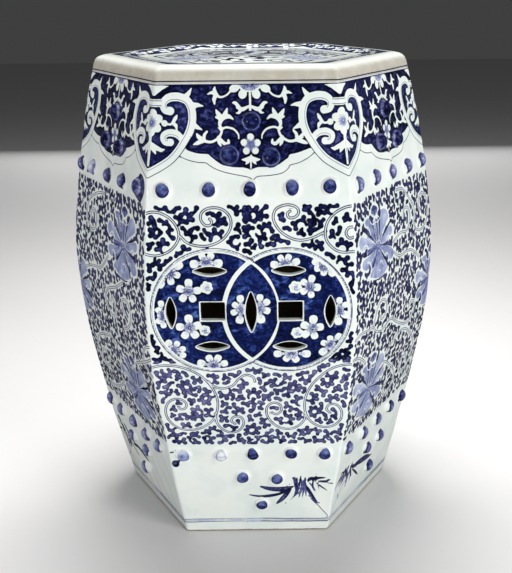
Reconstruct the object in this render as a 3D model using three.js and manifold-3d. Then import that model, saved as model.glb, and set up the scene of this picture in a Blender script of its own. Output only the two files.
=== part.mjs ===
// Hexagonal barrel-shaped porcelain garden seat, slab built.
// Six mould-pressed wall slabs are luted together at mitred corners, a rimmed
// top slab closes them, a pierced floor slab sits inside the foot, and raised
// round bosses are stuck to the walls with slip. Millimetres, +Z up, origin at
// the middle of the foot, front wall facing -Y.
import * as THREE from "three";
import { mergeVertices } from "three/addons/utils/BufferGeometryUtils.js";
import Module from "manifold-3d";

const wasm = await Module();
wasm.setup();

// ---- driving dimensions ----
const HEIGHT = 466; // floor to the top of the seat
const WALL = 11; // wall slab thickness
const RIM_Z = 452.6; // underside of the top slab
const WALL_TOP = RIM_Z - 0.4;
const SLIP = 0.3; // slip joint between slabs
const COS30 = Math.cos(Math.PI / 6);
const TAN30 = Math.tan(Math.PI / 6);
// corner radius of the barrel at each height
const PROFILE = [
  [0, 146.4],
  [12, 149.4],
  [24, 152.3],
  [50, 158.2],
  [80, 164.6],
  [110, 170.4],
  [145, 177.2],
  [180, 183.2],
  [215, 187.3],
  [250, 188.9],
  [285, 188.0],
  [320, 184.1],
  [355, 178.3],
  [390, 171.3],
  [420, 164.3],
  [WALL_TOP, 155.6],
];
const RIM = [
  // z, corner radius of the top slab, outside
  [RIM_Z, 155.5],
  [456, 154.7],
  [459.6, 153.4],
  [461.9, 151.8],
  [463.6, 149.6],
  [464.8, 146.9],
  [465.5, 144.0],
  [HEIGHT, 140.5],
  // crest, then the shallow dish of the sitting surface
  [HEIGHT, 134.5],
  [465.2, 127],
  [463.9, 117.8],
  [463.0, 108.5],
  [462.8, 97],
  [463.1, 69],
  [463.5, 34.6],
];
const FLOOR_Z = 15;
const FLOOR_THICK = 10;
const FLOOR_HOLE_R = 60;
// bosses: across the wall, height, base radius, stand-off
const ROW_FRONT = [
  [-74.2, 365.8],
  [-34.4, 365.8],
  [1.2, 366],
  [37.8, 366.6],
  [70, 367.6],
];
const ROW_RIGHT = [
  [-72.5, 366],
  [-34.5, 365.4],
  [0.8, 364.4],
  [38, 364],
  [74.5, 364],
];
const ROW_LEFT = [
  [-77, 364],
  [-47, 364.4],
  [-4, 363.6],
  [32, 364.2],
  [69, 365.6],
];
const ROW_R = 7.6;
const ROW_H = 5.4;
const CLOUD = [
  [3, 421.8],
  [-16, 394.2],
  [20, 392.4],
];
const CLOUD_R = 8.8;
const CLOUD_H = 6.4;
const LOW_FRONT = [
  [-70.8, 102],
  [-33.6, 101.6],
  [-1.6, 103],
  [36, 103.8],
  [68.8, 102.4],
  [-13, 73.8],
  [21.8, 71.6],
  [5.8, 38.4],
];
const LOW_RIGHT = [
  [-68.5, 100.6],
  [-32, 100.4],
  [5, 100.6],
  [38, 101.2],
  [71.5, 100.2],
  [-10, 71.6],
  [24, 70.8],
  [8.5, 38.8],
];
const LOW_LEFT = [
  [-73.5, 100.8],
  [-43, 99.6],
  [-7, 100.6],
  [26, 98.8],
  [60, 101.4],
  [-26, 73.4],
  [12.5, 72.8],
  [-9.5, 40],
];
const LOW_R = 7.4;
const LOW_H = 5.6;
// coin piercing of the front and back walls: centre x, z, half width, half height
const COIN_Z = 257;
const SQUARES = [
  [-34.5, COIN_Z + 1, 11, 8.6],
  [35.5, COIN_Z + 1, 11, 8.6],
];
const LENSES = [
  [-36, COIN_Z + 38.5, 14.5, 3.9],
  [34, COIN_Z + 38.5, 14.5, 3.9],
  [-36, COIN_Z - 33.5, 15, 4.3],
  [35, COIN_Z - 33.5, 15, 4.3],
  [-72.5, COIN_Z, 4.5, 14.5],
  [0, COIN_Z, 5, 19],
  [71.5, COIN_Z, 4.8, 14.5],
];

const radiusAt = (z) => {
  for (let i = 1; i < PROFILE.length; i++) {
    const [z1, r1] = PROFILE[i];
    const [z0, r0] = PROFILE[i - 1];
    if (z <= z1) return r0 + ((r1 - r0) * (z - z0)) / (z1 - z0);
  }
  return PROFILE[PROFILE.length - 1][1];
};

// ---- colours ----
const glaze = new THREE.MeshStandardMaterial({
  color: 0xe4eae4,
  roughness: 0.12,
  metalness: 0,
});
const cobalt = new THREE.MeshStandardMaterial({
  color: 0x24308a,
  roughness: 0.12,
  metalness: 0,
});
const biscuit = new THREE.MeshStandardMaterial({
  color: 0xcbbfab,
  roughness: 0.85,
  metalness: 0,
});

// ---- solids ----
function toManifold(geometry) {
  const g = geometry.index ? geometry.toNonIndexed() : geometry.clone();
  g.deleteAttribute("normal");
  g.deleteAttribute("uv");
  const m = mergeVertices(g, 1e-3);
  return new wasm.Manifold(
    new wasm.Mesh({
      numProp: 3,
      vertProperties: new Float32Array(m.attributes.position.array),
      triVerts: new Uint32Array(m.index.array),
    }),
  );
}

function toGeometry(solid) {
  const m = solid.getMesh();
  const n = m.numProp;
  const v = new Float32Array(m.numVert * 3);
  for (let i = 0; i < m.numVert; i++)
    v.set(m.vertProperties.subarray(i * n, i * n + 3), i * 3);
  const g = new THREE.BufferGeometry();
  g.setAttribute("position", new THREE.BufferAttribute(v, 3));
  g.setIndex(new THREE.BufferAttribute(new Uint32Array(m.triVerts), 1));
  g.computeVertexNormals();
  return g;
}

// closed loft through rings of equal vertex count, first ring lowest,
// each ring counter-clockwise seen from above
function loft(rings) {
  const n = rings[0].length;
  const pos = rings.flat(2);
  const idx = [];
  for (let k = 0; k + 1 < rings.length; k++)
    for (let i = 0; i < n; i++) {
      const a = k * n + i;
      const b = k * n + ((i + 1) % n);
      idx.push(a, b, b + n, a, b + n, a + n);
    }
  for (let i = 1; i + 1 < n; i++) {
    idx.push(0, i + 1, i);
    const t = (rings.length - 1) * n;
    idx.push(t, t + i, t + i + 1);
  }
  const g = new THREE.BufferGeometry();
  g.setAttribute("position", new THREE.Float32BufferAttribute(pos, 3));
  g.setIndex(idx);
  return g;
}

const hexRing = (r, z) =>
  [0, 1, 2, 3, 4, 5].map((k) => [
    r * Math.cos((k * Math.PI) / 3),
    r * Math.sin((k * Math.PI) / 3),
    z,
  ]);

// one wall slab, outer face towards -Y, edges cut to the 60 degree mitre
function wallSlab() {
  const rings = PROFILE.map(([z, r]) => {
    const out = r * COS30;
    const inn = out - WALL;
    const ho = out * TAN30 - SLIP / 2 / COS30;
    const hi = inn * TAN30 - SLIP / 2 / COS30;
    return [
      [-ho, -out, z],
      [ho, -out, z],
      [hi, -inn, z],
      [-hi, -inn, z],
    ];
  });
  return toManifold(loft(rings));
}

// low dome with its axis along -Y and its back at y = 0
function dome(radius, height, back = 0) {
  const pts = [new THREE.Vector2(0, -back), new THREE.Vector2(radius, -back)];
  if (back > 0) pts.push(new THREE.Vector2(radius, 0));
  for (let i = 1; i < 4; i++) {
    const a = (i / 4) * (Math.PI / 2);
    pts.push(
      new THREE.Vector2(radius * Math.cos(a * 0.92), height * Math.sin(a)),
    );
  }
  pts.push(new THREE.Vector2(0, height));
  const g = new THREE.LatheGeometry(pts, 12);
  g.rotateX(Math.PI / 2); // +Y of the lathe to +Z
  g.rotateX(Math.PI / 2); // and on to -Y
  return g;
}

// where a boss sits on the outer face, and how far the face leans there
function seatOnWall(z) {
  const lean = Math.atan2(
    (radiusAt(z + 8) - radiusAt(z - 8)) * COS30,
    16,
  );
  return { y: -radiusAt(z) * COS30, lean };
}

function lensShape(cx, cz, hw, hh) {
  const s = new THREE.Shape();
  const n = 12;
  const long = Math.max(hw, hh);
  const short = Math.min(hw, hh);
  const pts = [];
  for (let i = 0; i < n; i++) {
    const t = -1 + (2 * i) / n;
    pts.push([t * long, -short * (1 - t * t)]);
  }
  for (let i = 0; i < n; i++) {
    const t = 1 - (2 * i) / n;
    pts.push([t * long, short * (1 - t * t)]);
  }
  pts.forEach(([u, v], i) => {
    const [x, z] = hw >= hh ? [cx + u, cz + v] : [cx - v, cz + u];
    if (i) s.lineTo(x, z);
    else s.moveTo(x, z);
  });
  s.closePath();
  return s;
}

function rectShape(cx, cz, hw, hh) {
  const s = new THREE.Shape();
  s.moveTo(cx - hw, cz - hh);
  s.lineTo(cx + hw, cz - hh);
  s.lineTo(cx + hw, cz + hh);
  s.lineTo(cx - hw, cz + hh);
  s.closePath();
  return s;
}

// cutter through the wall along Y
function cutter(shape) {
  const g = new THREE.ExtrudeGeometry(shape, {
    depth: 80,
    bevelEnabled: false,
    steps: 1,
  });
  g.rotateX(Math.PI / 2); // shape's (x, y) to (x, z), depth towards -Y
  g.translate(0, -110, 0);
  return toManifold(g);
}

function bossSolid(x, z, r, h, sink) {
  const { y, lean } = seatOnWall(z);
  const g = dome(r, h, sink);
  g.rotateX(lean);
  g.translate(x, y, z);
  return toManifold(g);
}

function wallWith(low) {
  let wall = wallSlab();
  for (const [x, z] of low) wall = wall.add(bossSolid(x, z, LOW_R, LOW_H, 3));
  return wall;
}

let piercedWall = wallWith(LOW_FRONT);
for (const q of SQUARES) piercedWall = piercedWall.subtract(cutter(rectShape(...q)));
for (const q of LENSES) piercedWall = piercedWall.subtract(cutter(lensShape(...q)));

const piercedGeometry = toGeometry(piercedWall);
const rightGeometry = toGeometry(wallWith(LOW_RIGHT));
const leftGeometry = toGeometry(wallWith(LOW_LEFT));

const seat = new THREE.Group();

const WALLS = [
  ["wall_front", 0, piercedGeometry, ROW_FRONT],
  ["wall_front_right", 1, rightGeometry, ROW_RIGHT],
  ["wall_back_right", 2, leftGeometry, ROW_LEFT],
  ["wall_back", 3, piercedGeometry, ROW_FRONT],
  ["wall_back_left", 4, rightGeometry, ROW_RIGHT],
  ["wall_front_left", 5, leftGeometry, ROW_LEFT],
];

// each stuck-on boss stands off its wall by the slip that holds it
const rowBoss = dome(ROW_R, ROW_H);
const cloudBoss = dome(CLOUD_R, CLOUD_H);

function addBoss(group, name, geometry, x, z) {
  const { y, lean } = seatOnWall(z);
  const m = new THREE.Mesh(geometry, cobalt);
  m.name = name;
  m.position.set(x, y - 0.55, z);
  m.rotation.set(lean, 0, 0);
  group.add(m);
}

for (const [name, k, geometry, row] of WALLS) {
  const side = new THREE.Group();
  side.rotation.z = (k * Math.PI) / 3;
  const wall = new THREE.Mesh(geometry, glaze);
  wall.name = name;
  side.add(wall);
  const tag = name.replace("wall_", "");
  row.forEach(([x, z], i) =>
    addBoss(side, `row_boss_${tag}_${i + 1}`, rowBoss, x, z),
  );
  CLOUD.forEach(([x, z], i) =>
    addBoss(side, `collar_boss_${tag}_${i + 1}`, cloudBoss, x, z),
  );
  seat.add(side);
}

// top slab: rolled rim outside, flat underneath
const top = new THREE.Mesh(
  toGeometry(toManifold(loft(RIM.map(([z, r]) => hexRing(r, z))))),
  glaze,
);
top.name = "seat_top";
seat.add(top);

// floor slab inside the foot, with its round firing hole
const floorR = radiusAt(FLOOR_Z) - WALL / COS30 - 0.6;
const floorShape = new THREE.Shape();
hexRing(floorR, 0).forEach(([x, y], i) =>
  i ? floorShape.lineTo(x, y) : floorShape.moveTo(x, y),
);
floorShape.closePath();
const hole = new THREE.Path();
hole.absarc(0, 0, FLOOR_HOLE_R, 0, Math.PI * 2, true);
floorShape.holes.push(hole);
const floorGeometry = new THREE.ExtrudeGeometry(floorShape, {
  depth: FLOOR_THICK,
  bevelEnabled: false,
  curveSegments: 32,
});
const floor = new THREE.Mesh(floorGeometry, biscuit);
floor.name = "floor_slab";
floor.position.z = FLOOR_Z;
seat.add(floor);

export default seat;
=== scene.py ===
"""Hexagonal blue and white porcelain garden seat: the looks."""

import math

import bpy
import numpy as np
from mathutils import Matrix, Vector
from mathutils.geometry import delaunay_2d_cdt


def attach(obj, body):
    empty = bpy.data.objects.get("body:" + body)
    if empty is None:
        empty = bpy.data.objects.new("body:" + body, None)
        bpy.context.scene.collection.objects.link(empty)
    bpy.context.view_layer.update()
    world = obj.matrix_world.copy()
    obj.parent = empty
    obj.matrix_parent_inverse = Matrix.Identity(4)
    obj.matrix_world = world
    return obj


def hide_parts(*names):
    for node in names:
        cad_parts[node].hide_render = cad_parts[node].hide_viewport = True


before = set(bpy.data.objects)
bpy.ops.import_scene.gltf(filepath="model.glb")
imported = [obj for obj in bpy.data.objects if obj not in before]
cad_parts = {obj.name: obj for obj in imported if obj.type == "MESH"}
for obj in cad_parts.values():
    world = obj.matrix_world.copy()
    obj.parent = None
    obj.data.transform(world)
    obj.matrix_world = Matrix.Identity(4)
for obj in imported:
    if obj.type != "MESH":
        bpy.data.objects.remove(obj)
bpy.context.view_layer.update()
TAU = 2 * math.pi

# ---------------------------------------------------------------- canvas
class Canvas:
    """Painting as distance fields on a regular grid, in wall millimetres."""

    def __init__(self, x0, x1, z0, z1, g=0.5):
        self.x0, self.z0, self.g = x0, z0, g
        self.nx = int(round((x1 - x0) / g)) + 1
        self.nz = int(round((z1 - z0) / g)) + 1
        self.X = x0 + g * np.arange(self.nx)
        self.Z = z0 + g * np.arange(self.nz)
        sh = (self.nz, self.nx)
        self.F = np.full(sh, -9.0)  # dark coverage, + inside
        self.T = np.full(sh, 0.8)  # depth of the blue
        self.Q = np.full(sh, 0.0)  # 0 violet blue, 1 clear cobalt
        self.P = np.full(sh, -9.0)  # pale wash coverage
        self.PT = np.full(sh, 0.5)  # depth of the pale wash
        self.S = np.full(sh, 9.0)  # signed distance to the nearest line
        self.D = np.full(sh, 9.0)  # plain distance to it
        self.W = np.full(sh, 0.3)  # its half width
        self.H = np.zeros(sh)  # half spacing where it is a double line
        self.K = np.full(sh, 0.8)  # its ink
        self.O = np.full(sh, 30.0)  # distance to what is painted already

    def win(self, xa, xb, za, zb):
        i0 = max(0, int(math.floor((xa - self.x0) / self.g)))
        i1 = min(self.nx, int(math.ceil((xb - self.x0) / self.g)) + 1)
        j0 = max(0, int(math.floor((za - self.z0) / self.g)))
        j1 = min(self.nz, int(math.ceil((zb - self.z0) / self.g)) + 1)
        if i0 >= i1 or j0 >= j1:
            return None
        sl = (slice(j0, j1), slice(i0, i1))
        return sl, self.X[None, i0:i1], self.Z[j0:j1, None]

    # every shape: (box, function of x, z that is + inside)
    def add(self, shape, tone=0.9, hue=None, grow=4.0, occ=True):
        (xa, xb, za, zb), fn = shape
        w = self.win(xa - grow, xb + grow, za - grow, zb + grow)
        if w is None:
            return
        sl, x, z = w
        sd = fn(x, z)
        F = self.F[sl]
        m = sd > np.maximum(F, -1.6)
        self.T[sl][m] = tone
        if hue is not None:
            self.Q[sl][sd > -2.5] = hue
        np.maximum(F, sd, out=F)
        if occ:
            O = self.O[sl]
            np.minimum(O, -sd, out=O)

    def cut(self, shape, grow=4.0, lines=True, pale=True):
        (xa, xb, za, zb), fn = shape
        w = self.win(xa - grow, xb + grow, za - grow, zb + grow)
        if w is None:
            return
        sl, x, z = w
        sd = fn(x, z)
        F = self.F[sl]
        np.minimum(F, -sd, out=F)
        if pale:
            P = self.P[sl]
            np.minimum(P, -sd, out=P)
        if lines:
            D = self.D[sl]
            m = sd > 0.25
            D[m] = 9.0
            self.S[sl][m] = 9.0

    def pale(self, shape, tone=0.4, grow=2.5):
        (xa, xb, za, zb), fn = shape
        w = self.win(xa - grow, xb + grow, za - grow, zb + grow)
        if w is None:
            return
        sl, x, z = w
        sd = fn(x, z)
        P = self.P[sl]
        m = sd > np.maximum(P, -1.6)
        self.PT[sl][m] = tone
        np.maximum(P, sd, out=P)

    def tint(self, shape, change, dark=False, grow=1.0):
        """Shifts the depth of the wash by a function of place."""
        (xa, xb, za, zb), fn = shape
        w = self.win(xa - grow, xb + grow, za - grow, zb + grow)
        if w is None:
            return
        sl, x, z = w
        wgt = np.clip((fn(x, z) + 0.6) / 1.2, 0, 1)
        A = self.T if dark else self.PT
        A[sl] = np.clip(A[sl] + wgt * change(x, z), 0.02, 1.0)

    def block(self, shape, grow=6.0):
        (xa, xb, za, zb), fn = shape
        w = self.win(xa - grow, xb + grow, za - grow, zb + grow)
        if w is None:
            return
        sl, x, z = w
        O = self.O[sl]
        np.minimum(O, -fn(x, z), out=O)

    def line(self, pts, w=0.35, ink=0.85, half=0.0, w_end=None, closed=False):
        pts = np.asarray(pts, float)
        if closed:
            pts = np.vstack([pts, pts[:1]])
        n = len(pts) - 1
        if n < 1:
            return
        seg = np.hypot(*(pts[1:] - pts[:-1]).T)
        cum = np.concatenate([[0], np.cumsum(seg)])
        tot = max(cum[-1], 1e-6)
        if w_end is None:
            w_end = w
        r = half + 2.6
        for i in range(n):
            ax, az = pts[i]
            bx, bz = pts[i + 1]
            L = seg[i]
            if L < 1e-6:
                continue
            ww = self.win(min(ax, bx) - r, max(ax, bx) + r, min(az, bz) - r, max(az, bz) + r)
            if ww is None:
                continue
            sl, x, z = ww
            dx, dz = (bx - ax) / L, (bz - az) / L
            t = (x - ax) * dx + (z - az) * dz
            s = (x - ax) * -dz + (z - az) * dx
            tc = np.clip(t, 0, L)
            d = np.hypot(x - ax - tc * dx, z - az - tc * dz)
            sg = np.where(s >= 0, d, -d)
            if not closed and i == 0:
                sg = np.where(t < 0, d, sg)
            if not closed and i == n - 1:
                sg = np.where(t > L, d, sg)
            f = (cum[i] + tc) / tot
            wv = w + (w_end - w) * f
            D, S, W, H, K = self.D[sl], self.S[sl], self.W[sl], self.H[sl], self.K[sl]
            m = (d - wv - half) < (D - W - H)
            D[m] = d[m]
            S[m] = sg[m]
            W[m] = np.broadcast_to(wv, d.shape)[m]
            H[m] = half
            K[m] = ink

    def occ_at(self, x, z):
        i = (x - self.x0) / self.g
        j = (z - self.z0) / self.g
        i = min(max(int(i + 0.5), 0), self.nx - 1)
        j = min(max(int(j + 0.5), 0), self.nz - 1)
        return self.O[j, i]


# ---------------------------------------------------------------- shapes
def capsule(ax, az, bx, bz, r0, r1):
    r = max(r0, r1)
    L2 = (bx - ax) ** 2 + (bz - az) ** 2

    def fn(x, z):
        if L2 < 1e-9:
            return r0 - np.hypot(x - ax, z - az)
        t = np.clip(((x - ax) * (bx - ax) + (z - az) * (bz - az)) / L2, 0, 1)
        return r0 + (r1 - r0) * t - np.hypot(x - ax - t * (bx - ax), z - az - t * (bz - az))

    return (min(ax, bx) - r, max(ax, bx) + r, min(az, bz) - r, max(az, bz) + r), fn


def disc(cx, cz, r):
    return (cx - r, cx + r, cz - r, cz + r), lambda x, z: r - np.hypot(x - cx, z - cz)


def ellipse(cx, cz, a, b, ang=0.0):
    ca, sa = math.cos(ang), math.sin(ang)
    R = max(a, b)

    def fn(x, z):
        u = (x - cx) * ca + (z - cz) * sa
        v = -(x - cx) * sa + (z - cz) * ca
        k0 = np.hypot(u / a, v / b)
        k1 = np.hypot(u / (a * a), v / (b * b))
        return -k0 * (k0 - 1.0) / np.maximum(k1, 1e-6)

    return (cx - R, cx + R, cz - R, cz + R), fn


def stroke(pts, radii):
    pts = np.asarray(pts, float)
    radii = np.broadcast_to(np.asarray(radii, float), (len(pts),))
    caps = [capsule(*pts[i], *pts[i + 1], radii[i], radii[i + 1])[1] for i in range(len(pts) - 1)]
    r = radii.max()
    box = (pts[:, 0].min() - r, pts[:, 0].max() + r, pts[:, 1].min() - r, pts[:, 1].max() + r)

    def fn(x, z):
        out = caps[0](x, z)
        for c in caps[1:]:
            out = np.maximum(out, c(x, z))
        return out

    return box, fn


def polygon(pts):
    p = np.asarray(pts, float)
    q = np.roll(p, -1, axis=0)

    def fn(x, z):
        x, z = np.broadcast_arrays(x, z)
        d2 = np.full(x.shape, 1e9)
        inside = np.zeros(x.shape, bool)
        for (ax, az), (bx, bz) in zip(p, q):
            ex, ez = bx - ax, bz - az
            L2 = ex * ex + ez * ez
            if L2 < 1e-12:
                continue
            t = np.clip(((x - ax) * ex + (z - az) * ez) / L2, 0, 1)
            d2 = np.minimum(d2, (x - ax - t * ex) ** 2 + (z - az - t * ez) ** 2)
            c = (az > z) != (bz > z)
            with np.errstate(divide="ignore", invalid="ignore"):
                xi = ax + (z - az) * ex / (ez if abs(ez) > 1e-12 else 1e-12)
            inside ^= c & (x < xi)
        d = np.sqrt(d2)
        return np.where(inside, d, -d)

    return (p[:, 0].min(), p[:, 0].max(), p[:, 1].min(), p[:, 1].max()), fn


def spline(pts, n=8, closed=False):
    """Catmull-Rom through the points."""
    p = np.asarray(pts, float)
    if closed:
        p = np.vstack([p[-1], p, p[0], p[1]])
    else:
        p = np.vstack([2 * p[0] - p[1], p, 2 * p[-1] - p[-2]])
    out = []
    t = np.linspace(0, 1, n, endpoint=False)[:, None]
    for i in range(1, len(p) - 2):
        a, b, c, d = p[i - 1], p[i], p[i + 1], p[i + 2]
        out.append(0.5 * (2 * b + (c - a) * t + (2 * a - 5 * b + 4 * c - d) * t**2 + (3 * b - a - 3 * c + d) * t**3))
    out = np.vstack(out)
    if not closed:
        out = np.vstack([out, p[-2]])
    return out


def lerp_radii(rs, n):
    return np.interp(np.linspace(0, 1, n), np.linspace(0, 1, len(rs)), rs)


# ---------------------------------------------------------------- motifs
def vine(cv, pts, core=1.15, ink=0.8, w=0.32, taper=True):
    """White stem with a thin line along each side."""
    s = spline(pts, 6)
    r = np.full(len(s), core + 0.25)
    cv.cut(stroke(s, r), lines=True)
    cv.pale(stroke(s, np.full(len(s), core * 0.55)), 0.13)
    cv.line(s, w=w, ink=ink, half=core)
    cv.block(stroke(s, r + 0.45))


def leafy(cv, rng, inside, n_try, sizes, tone, hue, gap=1.2, flow=None, knob=(1.9, 2.5), touch=0.25):
    """Fill the free ground with lobed antler-like leaves."""
    made = 0
    for _ in range(n_try):
        x = rng.uniform(*inside[0])
        z = rng.uniform(*inside[1])
        ok = inside[2]
        if not ok(x, z, 1.0):
            continue
        o = cv.occ_at(x, z)
        if o < gap + 1.5:
            continue
        a = rng.uniform(0, 2 * math.pi)
        n = int(rng.integers(sizes[0], sizes[1] + 1))
        kr = rng.uniform(*knob)
        tn = min(1.0, max(0.05, tone + rng.normal(0, 0.05)))
        parts = []
        knobs = []

        def free(px, pz, r, own=0.5):
            if not ok(px, pz, r):
                return False
            if cv.occ_at(px, pz) < r + gap:
                return False
            for kx, kz, k in knobs:
                if math.hypot(px - kx, pz - kz) < r + k + own:
                    return False
            return True

        px, pz, pa = x, z, a
        stem = [(x, z)]
        turn = rng.choice([-1, 1]) * rng.uniform(0.25, 0.7)
        for i in range(n):
            step = kr * rng.uniform(1.5, 1.95)
            best = None
            for da in (0, 0.35, -0.35, 0.7, -0.7):
                qa = pa + turn * (0.6 + 0.4 * i) + da
                qx, qz = px + step * math.cos(qa), pz + step * math.sin(qa)
                if ok(qx, qz, kr * 0.7) and cv.occ_at(qx, qz) > kr * 0.7 + gap:
                    best = (qx, qz, qa)
                    break
            if best is None:
                break
            px, pz, pa = best
            stem.append((px, pz))
        if len(stem) < 2:
            if free(x, z, kr * 0.8):
                b = a
                e = (x + kr * 1.6 * math.cos(b), z + kr * 1.6 * math.sin(b))
                if cv.occ_at(*e) > 0.6 + gap and ok(*e, 0.6):
                    cv.add(capsule(x, z, *e, kr * 0.85, 0.5), tn, hue)
                else:
                    cv.add(disc(x, z, kr * 0.85), tn, hue)
                made += 1
            continue
        stem = np.array(stem)
        rad = np.linspace(kr * 0.5, kr * 0.78, len(stem))
        # end knob
        d = stem[-1] - stem[-2]
        ea = math.atan2(d[1], d[0])
        side = 1
        lobes = []
        for i in range(1, len(stem)):
            d = stem[i] - stem[i - 1]
            b = math.atan2(d[1], d[0])
            for sgn in (side, -side):
                for ang in (1.15, 0.85, 1.5):
                    Lq = kr * rng.uniform(1.55, 2.1)
                    qx = stem[i][0] + Lq * math.cos(b + sgn * ang)
                    qz = stem[i][1] + Lq * math.sin(b + sgn * ang)
                    r = kr * rng.uniform(0.72, 1.0)
                    if free(qx, qz, r, 0.75):
                        # a lobe may not run back over the stem
                        ds = np.hypot(stem[:, 0] - qx, stem[:, 1] - qz)
                        ds[i] = 99
                        if ds.min() > r + rad.max() + 0.5 * kr * 0.5:
                            lobes.append((stem[i][0], stem[i][1], qx, qz, kr * 0.62, r))
                            knobs.append((qx, qz, r))
                            break
            side = -side
        ex, ez = stem[-1][0] + kr * 0.9 * math.cos(ea), stem[-1][1] + kr * 0.9 * math.sin(ea)
        if free(ex, ez, kr * 0.95, -0.6 * kr):
            lobes.append((stem[-1][0], stem[-1][1], ex, ez, kr * 0.75, kr * rng.uniform(0.85, 1.0)))
        parts = [stroke(stem, rad)] + [capsule(*l) for l in lobes]
        for p in parts:
            cv.add(p, tn, hue)
        made += 1
    return made


def prunus(cv, cx, cz, r, rot=0.0, n=5, rng=None, only=None, petal=0.36, centre=0.4, ink=0.55, ground=True):
    """Five round white petals with fine outlines and a hatched eye."""
    for i in range(n):
        a = rot + 2 * math.pi * i / n
        if only is not None and not only(a):
            continue
        jr = 1.0 if rng is None else rng.uniform(0.92, 1.08)
        ja = 0 if rng is None else rng.uniform(-0.07, 0.07)
        px, pz = cx + r * 0.64 * jr * math.cos(a + ja), cz + r * 0.64 * jr * math.sin(a + ja)
        e = ellipse(px, pz, r * petal * 1.08, r * petal, a)
        cv.cut(e)
        t = np.linspace(0, 2 * math.pi, 15)
        ca, sa = math.cos(a), math.sin(a)
        ox = px + r * petal * 1.0 * np.cos(t) * ca - r * petal * 0.92 * np.sin(t) * sa
        oz = pz + r * petal * 1.0 * np.cos(t) * sa + r * petal * 0.92 * np.sin(t) * ca
        cv.line(np.stack([ox, oz], 1)[3:12], w=0.16, ink=ink * 0.8)
    # eye
    cv.cut(disc(cx, cz, r * 0.42))
    cv.pale(disc(cx, cz, r * centre), 0.42)
    for i in range(n):
        a = rot + 2 * math.pi * (i + 0.5) / n
        if only is not None and not only(a):
            continue
        for da in (-0.32, 0.0, 0.32):
            b = a + da
            cv.line([(cx + r * 0.12 * math.cos(b), cz + r * 0.12 * math.sin(b)), (cx + r * 0.5 * math.cos(b), cz + r * 0.5 * math.sin(b))], w=0.2, ink=ink)
    cv.line([(cx + r * 0.12 * math.cos(t), cz + r * 0.12 * math.sin(t)) for t in np.linspace(0, 6.283, 9)], w=0.25, ink=0.75)


def bud(cv, cx, cz, r, rot=0.0, rng=None):
    cv.cut(disc(cx, cz, r))
    for i in range(4):
        a = rot + 2 * math.pi * i / 4
        cv.cut(disc(cx + 0.55 * r * math.cos(a), cz + 0.55 * r * math.sin(a), r * 0.62))
    t = np.linspace(0, 4.8, 14)
    q = r * (0.15 + 0.11 * t)
    cv.line(np.stack([cx + q * np.cos(t + rot), cz + q * np.sin(t + rot)], 1), w=0.2, ink=0.6)
    cv.pale(disc(cx, cz, r * 0.3), 0.35)


def sprig(cv, stem_pts, leaves, r=0.75, w_leaf=1.5):
    """White reserved stem with forked leaves on a dark ground."""
    s = spline(stem_pts, 6)
    cv.cut(stroke(s, np.linspace(r, r * 0.75, len(s))))
    for (x, z, a, L) in leaves:
        # three-pronged leaf
        for da, k in ((0.0, 1.0), (0.85, 0.78), (-0.85, 0.78)):
            b = a + da
            mx, mz = x + 0.55 * L * k * math.cos(b), z + 0.55 * L * k * math.sin(b)
            ex, ez = x + L * k * math.cos(b), z + L * k * math.sin(b)
            cv.cut(stroke([(x, z), (mx, mz), (ex, ez)], [w_leaf * 0.75, w_leaf, 0.45]))


def blob(parts, k=0.42):
    """Smooth union of tapered strokes."""
    xs = [p[0] for p in parts] + [p[2] for p in parts]
    zs = [p[1] for p in parts] + [p[3] for p in parts]
    r = max(max(p[4], p[5]) for p in parts) + 0.6

    def fn(x, z):
        s = None
        for ax, az, bx, bz, r0, r1 in parts:
            L2 = (bx - ax) ** 2 + (bz - az) ** 2
            t = np.clip(((x - ax) * (bx - ax) + (z - az) * (bz - az)) / max(L2, 1e-9), 0, 1)
            v = np.exp(np.clip((r0 + (r1 - r0) * t - np.hypot(x - ax - t * (bx - ax), z - az - t * (bz - az))) / k, -30, 30))
            s = v if s is None else s + v
        return k * np.log(s + 1e-12)

    return (min(xs) - r, max(xs) + r, min(zs) - r, max(zs) + r), fn


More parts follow.
